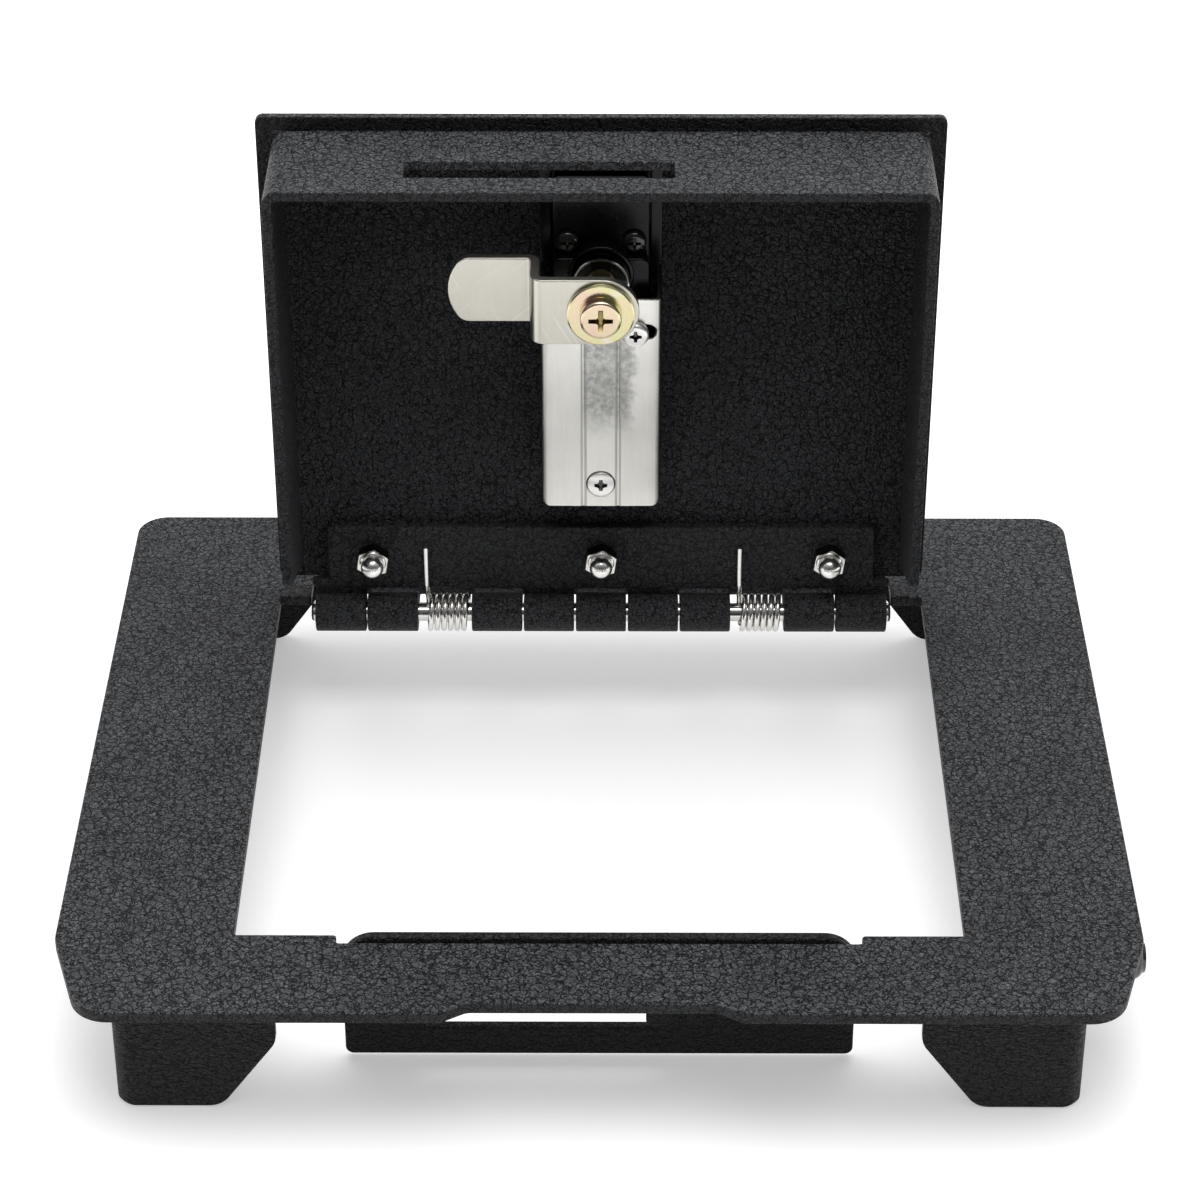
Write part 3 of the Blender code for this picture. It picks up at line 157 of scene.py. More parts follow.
class Trail:
    """Path of straight runs and bends in a plane, each given as (length, turn)."""

    def __init__(self, start, heading, moves):
        self.spans = []
        self.stations = []
        self.length = 0
        point = Vector(start)
        for length, bend in moves:
            self.spans.append((self.length, length, point, heading, bend))
            if bend:
                self.stations += spaced(self.length, length, ceil(abs(bend) / ARC))
            self.length += length
            heading += bend
            point = self.at(self.length)[0]

    def at(self, distance):
        """Place on the path and the direction to its left."""
        for first, length, point, heading, bend in self.spans:
            if distance <= first + length:
                break
        along = distance - first
        if not bend:
            return point + toward(heading) * along, left_of(heading)
        radius = length / bend
        ahead = heading + bend * along / length
        return point + left_of(heading) * radius - left_of(ahead) * radius, left_of(ahead)


def channel(start, wall, web, radius):
    """Trail of a channel's section: down a wall, across its web and up the other wall."""
    corner = (radius * RIGHT, RIGHT)
    return Trail(start, -RIGHT, [(wall, 0), corner, (web, 0), corner, (wall, 0)])


def split(data, axis, places):
    """Cut every face of a flat plate along lines across one of its axes."""
    normal = Vector((0, 0, 0))
    normal[axis] = 1
    for place in places:
        geometry = data.verts[:] + data.edges[:] + data.faces[:]
        bmesh.ops.bisect_plane(data, geom=geometry, dist=1e-5, plane_co=normal * place, plane_no=normal)


ACROSS_X, ACROSS_Y, ACROSS_Z = (2, 0, 1), (0, 2, 1), (0, 1, 2)


def bend(data, trail, thick, order):
    """Wrap a flat plate along a path; order takes X, Y and Z from (path a, path b, across)."""
    split(data, 0, trail.stations)
    for vert in data.verts:
        point, left = trail.at(vert.co.x)
        point = point + left * (vert.co.z - thick / 2)
        parts = (point.x, point.y, vert.co.y)
        vert.co = [parts[index] for index in order]
    return data


def turned(profile, sides=ROUND, closed=False, reach=None):
    """Rings about Z through (z, radius) steps; reach may limit a ring's radius at each turn."""
    data = bmesh.new()
    turns = spaced(0, FULL, sides)[:-1]
    rings = []
    for z, radius in profile:
        sizes = [min(radius, reach(turn)) if reach else radius for turn in turns]
        rings.append([data.verts.new((size * cos(turn), size * sin(turn), z))
                      for size, turn in zip(sizes, turns)])
    if not closed:
        data.faces.new(rings[0])
        data.faces.new(rings[-1])
    for low, high in zip(rings, rings[1:]):
        band(data, low, high)
    if closed:
        band(data, rings[-1], rings[0])
    return data


def fillet(z, radius, size, start, sweep, steps=5):
    """Steps (z, radius) of an arc about a centre."""
    return [(z + size * sin(t), radius + size * cos(t)) for t in spaced(start, sweep, steps)]


def merged(*parts):
    """One bmesh from several."""
    whole = parts[0]
    for part in parts[1:]:
        spare = bpy.data.meshes.new("spare")
        part.to_mesh(spare)
        part.free()
        whole.from_mesh(spare)
        bpy.data.meshes.remove(spare)
    return whole


def placed(data, *matrices):
    for matrix in matrices:
        data.transform(matrix)
    return data


def shift(x, y, z):
    return Matrix.Translation((x, y, z))


def marked(data, chosen):
    """Give the second skin to each face whose middle is chosen."""
    for face in data.faces:
        if chosen(face.calc_center_median()):
            face.material_index = 1
    return data


def linked(name, content):
    """New object in the scene."""
    made = bpy.data.objects.new(name, content)
    bpy.context.scene.collection.objects.link(made)
    return made


def mesh_object(name, data):
    bmesh.ops.recalc_face_normals(data, faces=data.faces)
    mesh = bpy.data.meshes.new(name)
    data.to_mesh(mesh)
    data.free()
    return linked(name, mesh)


def final_shape(made):
    """Bmesh of an object with its modifiers applied."""
    bpy.context.view_layer.update()
    graph = bpy.context.evaluated_depsgraph_get()
    mesh = bpy.data.meshes.new_from_object(made.evaluated_get(graph))
    data = bmesh.new()
    data.from_mesh(mesh)
    bpy.data.meshes.remove(mesh)
    return data


def combined(operation, base, *others):
    """Boolean of a base with each other bmesh; a face keeps the material index that it came with."""
    whole, *helpers = makers = [mesh_object("maker", data) for data in (base, *others)]
    for maker in makers:
        maker.data.materials.append(None)
        maker.data.materials.append(None)
    for helper in helpers:
        change = whole.modifiers.new("change", "BOOLEAN")
        change.operation = operation
        change.solver = "EXACT"
        change.object = helper
    data = final_shape(whole)
    for maker in makers:
        bpy.data.objects.remove(maker)
    return data


def piece(name, data, space, body, skins, node=None):
    """Put a finished mesh in the scene, on its body, in place of its node."""
    data.transform(space)
    made = mesh_object(name, data)
    made.data.shade_smooth()
    made.data.set_sharp_from_angle(angle=SMOOTH)
    skins = skins if isinstance(skins, tuple) else (skins,)
    for skin in skins:
        made.data.materials.append(skin)
    normals = made.modifiers.new("normals", "WEIGHTED_NORMAL")
    normals.keep_sharp = True
    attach(made, body)
    if node:
        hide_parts(node)


# Materials

class Nodes:
    """Node tree built in a few calls."""

    def __init__(self, owner, clear=False):
        owner.use_nodes = True
        self.tree = owner.node_tree
        if clear:
            self.tree.nodes.clear()

    def add(self, kind, links=None, **settings):
        made = self.tree.nodes.new(f"ShaderNode{kind}")
        for key, value in settings.items():
            setattr(made, key, value)
        for key, value in (links or {}).items():
            self.link(made.inputs[key], value)
        return made

    def link(self, socket, value):
        if isinstance(value, bpy.types.NodeSocket):
            self.tree.links.new(value, socket)
        else:
            socket.default_value = value

    def ramp(self, factor, *stops):
        made = self.add("ValToRGB", {"Fac": factor})
        elements = made.color_ramp.elements
        while len(elements) < len(stops):
            elements.new(0.5)
        for element, (place, colour) in zip(elements, stops):
            element.position = place
            element.color = (*colour, 1) if isinstance(colour, tuple) else (colour, colour, colour, 1)
        return made.outputs["Color"]

    def span(self, value, low, high, to_low=0.0, to_high=1.0, kind="LINEAR"):
        links = {"Value": value, "From Min": low, "From Max": high, "To Min": to_low, "To Max": to_high}
        return self.add("MapRange", links, interpolation_type=kind).outputs["Result"]

    def sum(self, a, b, operation="ADD"):
        return self.add("Math", {0: a, 1: b}, operation=operation).outputs["Value"]

    def times(self, a, b):
        return self.sum(a, b, "MULTIPLY")


class Skin(Nodes):
    """Material on the principled shader."""

    def __init__(self, name, **values):
        self.material = bpy.data.materials.new(name)
        super().__init__(self.material)
        self.shader = self.tree.nodes["Principled BSDF"]
        for key, value in values.items():
            self.shader.inputs[key.replace("_", " ")].default_value = value
        self.place = self.add("TexCoord").outputs["Object"]

    def stretched(self, x, y, z, vector=None):
        scaled = self.add("Mapping", {"Vector": vector or self.place, "Scale": (x, y, z)})
        return scaled.outputs["Vector"]

    def noise(self, scale, detail=3.0, rough=0.5, vector=None, **links):
        links |= {"Vector": vector or self.place, "Scale": scale, "Detail": detail, "Roughness": rough}
        return self.add("TexNoise", links).outputs["Fac"]

    def blend(self, factor, a, b, kind="MIX"):
        return self.add("Mix", {"Factor": factor, "A": a, "B": b}, data_type="RGBA",
                        blend_type=kind).outputs["Result"]

    def tinted(self, a, b):
        return self.blend(1.0, a, b, "MULTIPLY")

    def bump(self, height, distance, strength=1.0):
        links = {"Height": height, "Distance": distance, "Strength": strength}
        return self.add("Bump", links).outputs["Normal"]

    def finish(self, **sockets):
        for key, value in sockets.items():
            self.link(self.shader.inputs[key.replace("_", " ")], value)
        return self.material


# Scales of noise, in turns per metre
NET, CREASE, LUMPS, GRIT, BROAD = 450.0, 860.0, 700, 1900, 34
EVEN, DENSE = (500, 500, 500), (700, 700, 700)
FINE = 0.004 * MM           # relief of fine grain
COOL = (0.9, 0.93, 1.0, 1)  # tint of the coat's grey


def creases(skin, scale, vector):
    """How far a wandering field is from its middle: 0 along thin curved creases."""
    field = skin.noise(scale, 1.5, 0.5, vector, Distortion=0.7)
    return skin.sum(skin.sum(field, 0.5, "SUBTRACT"), 0.0, "ABSOLUTE")


def cells(skin, scale, vector, finer=1.3, sway=1.3):
    """Distance from the edges of small warped cells: 0 along a net of thin wrinkles."""
    warp = skin.noise(scale * finer, 2, 0.5, vector).node.outputs["Color"]
    moved = skin.add("VectorMath", {0: warp, 1: (sway / scale,) * 3, 2: vector},
                     operation="MULTIPLY_ADD")
    net = skin.add("TexVoronoi", {"Vector": moved.outputs["Vector"], "Scale": scale},
                   feature="DISTANCE_TO_EDGE")
    return net.outputs["Distance"]


def coat_skin(name, depth=1.2 * MM, shade=1.0, stretch=(1, 1, 1)):
    """Black wrinkle powder coat: a net of wrinkles with painted shade in them and painted highlights on
    their lips, short creases painted the same way, and grit.
    """
    skin = Skin(name, Specular_IOR_Level=0.2)
    place = skin.stretched(*stretch)
    net = cells(skin, NET, place)
    short = creases(skin, CREASE, place)
    grit = skin.noise(GRIT, 2, 0.5, place)
    lumps = skin.noise(LUMPS, 2, 0.5, place)
    broad = skin.noise(BROAD, 3)
    # Painted shade in the wrinkles and creases, with a painted highlight on their lips.
    groove = skin.ramp(net, (0.0, 0.04), (0.035, 0.18), (0.09, 1.0), (0.17, 0.7), (0.4, 0.54))
    short_crease_shade_and_highlight = skin.ramp(short, (0.0, 0.25), (0.014, 0.5), (0.045, 1.0), (0.1, 0.76), (0.25, 0.68))
    tone = skin.tinted(skin.tinted(groove, short_crease_shade_and_highlight), COOL)
    # Flecks lighter where the grit stands up: random tone with a painted highlight on the raised grit. The
    # shade factor darkens the whole coat for the copies that paint shade.
    grain = skin.span(grit, 0.32, 0.68, 0.06 * shade, 0.31 * shade)
    level = skin.times(grain, skin.span(broad, 0.3, 0.7, 0.85, 1.1))
    colour = skin.add("VectorMath", {0: tone, "Scale": level}, operation="SCALE").outputs["Vector"]
    height = skin.sum(skin.span(net, 0.0, 0.14, 0.0, 0.6, "SMOOTHSTEP"),
                      skin.span(short, 0.0, 0.07, 0.0, 0.25, "SMOOTHSTEP"))
    height = skin.sum(skin.sum(height, skin.times(lumps, 1.5)), skin.times(grit, 0.5))
    rough = skin.span(grit, 0.3, 0.7, 0.38, 0.58)
    return skin.finish(Base_Color=colour, Roughness=rough, Normal=skin.bump(height, depth))


def metal_skin(name, colour, dark, rough, brush=EVEN, depth=FINE):
    """Brushed or rolled metal; brush is the scale of its lines along each axis."""
    skin = Skin(name, Metallic=1.0)
    lines = skin.noise(1.0, 4, 0.6, skin.stretched(*brush))
    cloud = skin.noise(60, 3)
    mix = skin.ramp(cloud, (0.3, dark), (0.7, colour))
    streak = skin.ramp(lines, (0.3, 0.9), (0.7, 1.0))
    roughness = skin.span(cloud, 0.3, 0.7, rough * 0.9, rough * 1.1)
    return skin.finish(Base_Color=skin.tinted(mix, streak), Roughness=roughness,
                       Normal=skin.bump(lines, depth, 0.5))


def scratches(skin, scale, turn, amount):
    """Sparse fine hairlines along one direction of the lid's inner face: 1 on them."""
    spun = skin.add("Mapping", {"Vector": skin.place, "Rotation": (0, turn, 0)}).outputs["Vector"]
    field = skin.noise(1.0, 2, 0.5, skin.stretched(scale, scale, scale / 28, spun))
    return skin.span(field, amount, amount + 0.05)


def satin_skin(name, colour, dark, rough):
    """Satin sheet with a rolled grain and hairline scratches; gives the skin and its tone."""
    skin = Skin(name, Metallic=1.0)
    grain = skin.noise(1.0, 4, 0.6, skin.stretched(2600, 2600, 90))
    cloud = skin.noise(70, 4, 0.55)
    lines = skin.sum(scratches(skin, 1500, 0.5, 0.66), scratches(skin, 1900, -0.9, 0.67), "MAXIMUM")
    tone = skin.ramp(cloud, (0.3, dark), (0.7, colour))
    tone = skin.tinted(tone, skin.ramp(grain, (0.3, 0.95), (0.7, 1.0)))
    tone = skin.blend(skin.times(lines, 0.2), tone, (0.9, 0.9, 0.89, 1))
    height = skin.sum(skin.times(grain, 0.5), skin.times(lines, 0.4), "SUBTRACT")
    height = skin.sum(height, skin.times(cloud, 9.0))
    skin.finish(Roughness=skin.span(cloud, 0.3, 0.7, rough * 0.9, rough * 1.12),
                Normal=skin.bump(height, 0.01 * MM, 0.5))
    return skin, tone


def cover_skin():
    """Satin steel with painted shade along the folds and creases, and a darker mottled patch between them.
    """
    skin, tone = satin_skin("satin_stainless", (0.90, 0.89, 0.84), (0.80, 0.79, 0.74), 0.34)
    place = skin.add("SeparateXYZ", {"Vector": skin.place}).outputs
    across, up = skin.sum(place["X"], MIDDLE_X * MM), place["Z"]
    half = 16.0
    # Painted shade: dark lines either side of each crease, and darkening towards the side folds.
    folds = ((3.5, 1.0), (3.85, 0.5), (4.15, 0.8), (4.3, 1.0), (4.65, 1.0), (4.8, 0.75), (5.05, 0.6),
             (5.4, 0.98), (12.0, 1.0), (13.9, 0.9), (14.8, 0.5), (15.5, 0.16))
    painted_fold_shade = skin.ramp(skin.sum(skin.sum(across, 0.0, "ABSOLUTE"), half * MM, "DIVIDE"),
                     *[(spot / half, level) for spot, level in folds])
    tone = skin.tinted(tone, painted_fold_shade)
    mottle = skin.noise(650, 5, 0.65)
    drift = skin.times(skin.noise(260, 3, 0.6), 6.0 * MM)
    left = skin.span(across, -4.7 * MM, -4.2 * MM)
    right = skin.span(skin.sum(across, drift), 9.5 * MM, 12.5 * MM, 1.0, 0.0, "SMOOTHSTEP")
    lower = skin.span(skin.sum(up, drift), 96 * MM, 109 * MM, kind="SMOOTHSTEP")
    patch = skin.times(skin.times(left, right), lower)
    patch = skin.times(patch, skin.span(mottle, 0.35, 0.62, 0.45, 0.95))
    return skin.finish(Base_Color=skin.blend(patch, tone, (0.34, 0.34, 0.33, 1)))


def zinc_skin():
    """Yellow zinc plating with a faint rainbow in it."""
    skin = Skin("yellow_zinc", Metallic=1.0)
    drift = skin.noise(110, 2, 0.5, Distortion=0.8)
    grain = skin.noise(1500, 3)
    tint = skin.ramp(drift, (0.28, (0.62, 0.46, 0.37)), (0.45, (0.61, 0.52, 0.35)),
                     (0.58, (0.57, 0.55, 0.30)), (0.72, (0.62, 0.57, 0.44)))
    return skin.finish(Base_Color=tint, Roughness=skin.span(grain, 0.3, 0.7, 0.16, 0.24),
                       Normal=skin.bump(grain, 0.006 * MM, 0.5))


def black_skin(name, colour, rough, grain, depth, gloss=0.25):
    """Black paint, plastic or blackened steel with a fine grain and rubbed patches."""
    skin = Skin(name, Specular_IOR_Level=gloss)
    fine = skin.noise(grain, 3)
    cloud = skin.noise(90, 3)
    tone = skin.ramp(cloud, (0.3, tuple(c * 0.6 for c in colour)), (0.75, colour))
    roughness = skin.sum(skin.span(fine, 0.3, 0.7, rough * 0.85, rough * 1.15),
                         skin.span(cloud, 0.4, 0.7, 0.0, 0.06))
    return skin.finish(Base_Color=tone, Roughness=roughness, Normal=skin.bump(fine, depth, 0.6))


coat = coat_skin("wrinkle_coat")
# The coat's copies below are darker by their shade factor: painted shade on the legs, on the underside of
# the lid's overhang, on the hinge leaves and pin ends, on the strike and the bolt stop, and on the sheet
# edges.
leg_coat_painted_shade = coat_skin("wrinkle_coat_legs_painted_shade", 0.9 * MM, 0.7, (0.75, 0.75, 1.7))
overhang_coat_painted_shade = coat_skin("wrinkle_coat_rim_painted_shade", 0.3 * MM, 0.2)
leaf_coat_painted_shade = coat_skin("wrinkle_coat_leaf_painted_shade", 0.3 * MM, 0.56)
strike_coat_painted_shade = coat_skin("wrinkle_coat_strike_painted_shade", 0.5 * MM, 0.26)
edge_coat_painted_shade = coat_skin("wrinkle_coat_edge_painted_shade", 0.5 * MM, 0.55)
cover_steel = cover_skin()
cam_skin, cam_tone = satin_skin("rolled_stainless", (0.60, 0.58, 0.52), (0.53, 0.51, 0.455), 0.33)
cam_steel = cam_skin.finish(Base_Color=cam_tone)
bright = metal_skin("bright_nickel", (0.76, 0.75, 0.72), (0.66, 0.65, 0.62), 0.14)
chrome = metal_skin("chrome", 0.78, 0.70, 0.08, EVEN, FINE / 2)
# Chrome darkened all over, a painted dark reflection, for the barrel's sides.
chrome_painted_dark_reflection = metal_skin("chrome_painted_dark_reflection", 0.05, 0.03, 0.18, EVEN, FINE / 2)
nut_steel = metal_skin("nut_steel", (0.9, 0.89, 0.86), (0.8, 0.79, 0.76), 0.2, DENSE)
cap_steel = metal_skin("cap_steel", (0.97, 0.96, 0.93), (0.9, 0.89, 0.86), 0.24, DENSE)
# Dark copy of the nut steel for the acorn nuts' flats: a painted dark reflection.
nut_painted_dark_reflection = metal_skin("nut_painted_dark_reflection", (0.14, 0.13, 0.11), (0.07, 0.065, 0.055), 0.3, DENSE)
brass = metal_skin("dull_brass", (0.34, 0.31, 0.20), (0.20, 0.18, 0.12), 0.3, (500, 500, 2500), 0.01 * MM)
zinc = zinc_skin()
# Darker copies of zinc and steel for the cross recesses: painted shade.
zinc_recess_painted_shade = metal_skin("zinc_recess_painted_shade", (0.38, 0.29, 0.12), (0.20, 0.15, 0.07), 0.3)
recess = metal_skin("screw_recess_painted_shade", (0.22, 0.21, 0.20), (0.08, 0.08, 0.08), 0.3)
screw_steel = metal_skin("screw_steel", (0.93, 0.92, 0.90), (0.84, 0.83, 0.80), 0.36, DENSE)
black_steel = black_skin("black_screws", (0.012, 0.012, 0.0125), 0.12, 1500, 0.003 * MM, 0.6)
lock_black = black_skin("lock_black", (0.004, 0.004, 0.0045), 0.22, 1200, 0.008 * MM, 0.2)
dial_black = black_skin("dial_black", (0.02, 0.02, 0.021), 0.38, 2500, 0.02 * MM)
mark_white = black_skin("mark_white", (0.75, 0.75, 0.73), 0.5, 2500, 0.01 * MM)


# Frame

DEPTH = 215.5                # of the plate, front to rear
PLATE_LOW, PLATE_TOP = 33.0, 36.0
SIDE_Y, SIDE_Z = 32.3, 26.9  # axis of the side screw
UPRIGHT = Matrix.Rotation(RIGHT, 4, "X")
TO_X = Matrix.Rotation(RIGHT, 4, "Y")


def frame_plate():
    """Plate with chamfered front corners, a stepped front edge and its opening."""
    half, front, chamfer = 129.0, 120.75, 27.3
    step_x, inner, outer, step = -1.5, 29.2, 35.2, 3.6
    outline = rounded([
        (-front, 0, 9.5), (step_x - outer, 0, 4), (step_x - inner, step, 4), (step_x + inner, step, 4),
        (step_x + outer, 0, 4), (front, 0, 9.5), (half, chamfer, 12), (half, DEPTH, 8), (-half, DEPTH, 8),
        (-half, chamfer, 12),
    ])
    side, near, far = 86.7, 29.0, 175.2
    strike_x, strike_y, notch_x, notch_y = 62.3, 26.0, 78.53, 185.0
    right = [(strike_x, strike_y), (strike_x, near), (side, near), (side, far), (notch_x, far),
             (notch_x, notch_y)]
    left = [(-x, y) for x, y in reversed(right)]
    opening = rounded([(x, y, 0.8) for x, y in left[3:] + right + left[:3]])
    rim = 0.3
    # The plate's side faces take the second skin, a painted shade.
    return marked(plate(outline, [opening], PLATE_LOW, PLATE_TOP, 0.35),
                  lambda middle: PLATE_LOW + rim < middle.z < PLATE_TOP - rim)


def leg(side, front):
    """Bent corner leg with a rounded foot at the bend."""
    thick, length, radius = 2.7, 38.9, 4.5
    slope_run, slope_top, top = 13.8, 19.5, PLATE_LOW - GAP
    corner_x, corner_y = 114.8, 8.8 if front > 0 else DEPTH - 5.2
    straight = length - radius
    middle = radius - thick / 2
    trail = Trail((length, thick / 2), pi, [(straight, 0), (middle * RIGHT, -RIGHT), (straight, 0)])
    total = trail.length
    outline = rounded([
        (0, top, 0.6), (0, slope_top, 6), (slope_run, 0, 6),
        (total - slope_run, 0, 6), (total, slope_top, 6), (total, top, 0.6),
    ])
    holes = []
    if side > 0 and front > 0:
        holes.append(circle(3.2, total - length + SIDE_Y - corner_y, SIDE_Z, 48))
    data = sheet(outline, holes, thick)
    cuts = [2.6 + 0.3 * step for step in range(8)]  # beside the bend, for the foot's rounding
    split(data, 0, [total / 2 + sign * cut for sign in (-1, 1) for cut in cuts])
    bend(data, trail, thick, ACROSS_Z)
    deep, run, near = 0.9, 1.8, radius * (sqrt(2) - 1)
    for vert in data.verts:
        reach = 1 - ((vert.co.x + vert.co.y) / sqrt(2) - near) / run
        if reach > 0:
            rise = deep * (1 - sqrt(max(0.0, 1 - min(1.0, reach) ** 2)))
            vert.co.z += rise * (1 - vert.co.z / top)
    return placed(data, Matrix.Diagonal((-side, front, 1, 1)), shift(side * corner_x, corner_y, 0))


def strike():
    half, low, high = 61.2, 1.5, 37.2
    outline = rounded([(-half, low, 2), (half, low, 2), (half, high, 8), (-half, high, 8)])
    return placed(plate(outline, [box(-42, 15, 9.8, 21.2, 1)], 0, 2.6), UPRIGHT, shift(0, 28.9, 0))


def bolt_stop():
    left, right, low, high = 11.2, 17.7, 12.8, PLATE_LOW - GAP
    outline = rounded([(left, low, 1.5), (right, low, 1.5), (right, high, 0.5), (left, high, 0.5)])
    return placed(plate(outline, [], 0, 2.5), UPRIGHT, shift(0, 26.0, 0))


def hex_reach(flats):
    """Radius of a hexagon at each turn."""
    def reach(turn):
        off = (turn + pi / 6) % (pi / 3) - pi / 6
        return flats / 2 / cos(off)
    return reach


def nut(flats, height, bore):
    """Hexagon nut along Z from 0, chamfered on both faces, with a chamfered bore."""
    corner = flats / 2 / cos(pi / 6)
    face, slope, levels, lip = flats / 2 * 0.97, 0.5, 6, 0.35
    rise = (corner - face) * slope
    low = [(z, face + z / slope) for z in spaced(0, rise, levels)]
    high = [(height - z, r) for z, r in reversed(low)]
    inner = [(height, bore + lip), (height - lip, bore), (lip, bore), (0, bore + lip)]
    return turned(low + high + inner, 72, True, hex_reach(flats))


def side_screw():
    """Button head with a hexagon socket, and its threaded shank."""
    tip, seat, end = 104.5, 127.0, 130.3
    head, crown, rim = 5.25, 2.6, 0.3
    root, crest, pitch = 2.6, 2.9, 1.0
    dome = fillet(seat + rim, head - crown, crown, 0.0, pi / 2.6, 8)
    dome[-1] = (end, dome[-1][1])
    socket = [(end, 2.35), (end - 1.9, 2.2), (end - 2.2, 0.4)]
    shank = []
    z = tip
    while z < seat - 1.1:
        shank += [(z, root), (z + 0.25, crest), (z + 0.5, crest), (z + 0.75, root)]
        z += pitch
    profile = [(tip, 2.2)] + shank + [(seat, crest), (seat, head), (seat + rim, head)] + dome + socket
    return placed(turned(profile, 48), TO_X, shift(0, SIDE_Y, SIDE_Z))


def side_nut(x):
    return placed(nut(10, 5, 3.05), TO_X, shift(x, SIDE_Y, SIDE_Z))


# Hinge

PITCH, HALF = 14.06, 77.33         # of the knuckles, and half of the row
LID_KNUCKLES, FRAME_KNUCKLES = (0, 4, 6, 10), (1, 3, 5, 7, 9)
STUDS = (("left", -61.3), ("middle", 0.0), ("right", 61.3))
LID_STUD, FRAME_STUD = 16.2, 22.0  # from the hinge's axis
LEAF = 2.7                         # thickness of both leaves
WRAP = 3.95                        # radius of the rolled sheet's middle


def knuckle(place):
    left = -HALF + place * PITCH
    return left + 0.25, left + PITCH - 0.25


def rolled_leaf(trail, near, shoulder, places, studs, half=73.5):
    """Hinge leaf whose fingers are rolled round the pin."""
    corners = [(0, -half, 1.5)]
    tip = trail.length
    for place in places:
        left, right = knuckle(place)
        first = shoulder if left < -half else near
        last = shoulder if right > half else near
        if left < -half:
            corners.append((first, -half, 0.6))
        elif place == places[0]:
            corners.append((near, -half, 1.0))
        corners += [(first, left, 0.6), (tip, left, 0.6), (tip, right, 0.6), (last, right, 0.6)]
        if right > half:
            corners.append((last, half, 0.6))
        elif place == places[-1]:
            corners.append((near, half, 1.0))
    corners.append((0, half, 1.5))
    holes = [circle(2.7, studs, x, 32) for _, x in STUDS]
    return bend(sheet(rounded(corners), holes, LEAF, 0.45), trail, LEAF, ACROSS_X)


def lid_leaf():
    """Leaf with a slight joggle before its rolls."""
    top, wrap = 25.5, radians(285)
    trail = Trail((-top, 3.75), 0, [(19.5, 0), (1.5, 0.133), (1.5, -0.133), (3.0, 0),
                                    (WRAP * wrap, -wrap)])
    return rolled_leaf(trail, 19.5, 16.9, LID_KNUCKLES, top - LID_STUD)


def frame_leaf():
    """Leaf cranked down from the plate to its rolls."""
    rear, wrap, sweep = 31.0, radians(235), radians(53.13)
    trail = Trail((rear, -0.75), pi, [(22.0, 0), (4 * sweep, sweep), (4 * sweep, -sweep), (2.6, 0),
                                      (WRAP * wrap, -wrap)])
    return rolled_leaf(trail, 19.5, 19.5, FRAME_KNUCKLES, rear - FRAME_STUD)


def hinge_pin():
    end, radius, nose = HALF + 1.0, 1.9, 0.6
    left = [(z, r) for z, r in reversed(fillet(-end + nose, radius, nose, 0.0, -RIGHT))]
    data = turned(left + [(-z, r) for z, r in reversed(left)])
    return placed(marked(data, lambda middle: abs(middle.z) > HALF + 0.3), TO_X)


def eased(points, reach, steps=10):
    """Path with each inner corner replaced by a curve."""
    points = [Vector(point) for point in points]
    path = [points[0]]
    for before, here, after in zip(points, points[1:], points[2:]):
        start = here + (before - here).normalized() * reach
        end = here + (after - here).normalized() * reach
        path += [start * (1 - share) ** 2 + here * 2 * share * (1 - share) + end * share ** 2
                 for share in spaced(0, 1, steps)]
    path.append(points[-1])
    return path


def spring_paths(place):
    """Centre lines of a spring's leg on the lid, with a quarter turn, and of all the rest."""
    wire, radius, pitch, turns, per_turn = 1.35, 4.5, 1.8, 5.875, 36
    left = knuckle(place - 1)[1] + 2.0 + wire / 2
    leg_y = 2.4 - GAP - wire / 2
    leg_x = left - 0.3
    count = round(turns * per_turn)
    coil = [Vector((x, radius * cos(turn), radius * sin(turn))) for x, turn in
            zip(spaced(left, pitch * turns, count), spaced(0, -FULL * turns, count))]
    lid_leg = eased([(leg_x, leg_y, 19.6), (leg_x, leg_y, 6.6), (left, radius, 1.5)], 1.5)
    last = coil[-1]
    leg_z = -2.1 - GAP - wire / 2
    frame_leg = eased([last, (last.x, last.y + last.z - leg_z, leg_z), (last.x, 24.0, leg_z)], 1.5)
    return lid_leg + coil[:per_turn // 4 + 1], coil + frame_leg[1:]


def tube(path, radius, sides=16, chamfer=0.2):
    """Round wire along a path, its ends slightly chamfered."""
    data = bmesh.new()
    count = len(path)
    turns = spaced(0, FULL, sides)[:-1]
    rings = []
    up = Vector((1, 0, 0))
    for index, here in enumerate(path):
        ahead = (path[min(index + 1, count - 1)] - path[max(index - 1, 0)]).normalized()
        up = (up - ahead * up.dot(ahead)).normalized()
        other = ahead.cross(up)
        ring = [here + (up * cos(t) + other * sin(t)) * radius for t in turns]
        rings.append((here, ring, ahead))
    (near, first, out), (far, last, on) = rings[0], rings[-1]
    start = [p.lerp(near, chamfer) - out * (radius * chamfer) for p in first]
    end = [p.lerp(far, chamfer) + on * (radius * chamfer) for p in last]
    loops = [[data.verts.new(p) for p in ring] for ring in [start] + [r[1] for r in rings] + [end]]
    data.faces.new(loops[0])
    data.faces.new(loops[-1])
    for low, high in zip(loops, loops[1:]):
        band(data, low, high)
    return data


def threaded(low, high, radius, pitch=0.8):
    """Stud along Z with shallow thread rings."""
    profile = [(low, radius - 0.5)]
    z = low + 0.3
    while z < high - pitch:
        profile += [(z, radius - 0.3), (z + pitch * 0.35, radius), (z + pitch * 0.5, radius)]
        z += pitch
    return turned(profile + [(high - 0.2, radius), (high, radius - 0.2)], 40)


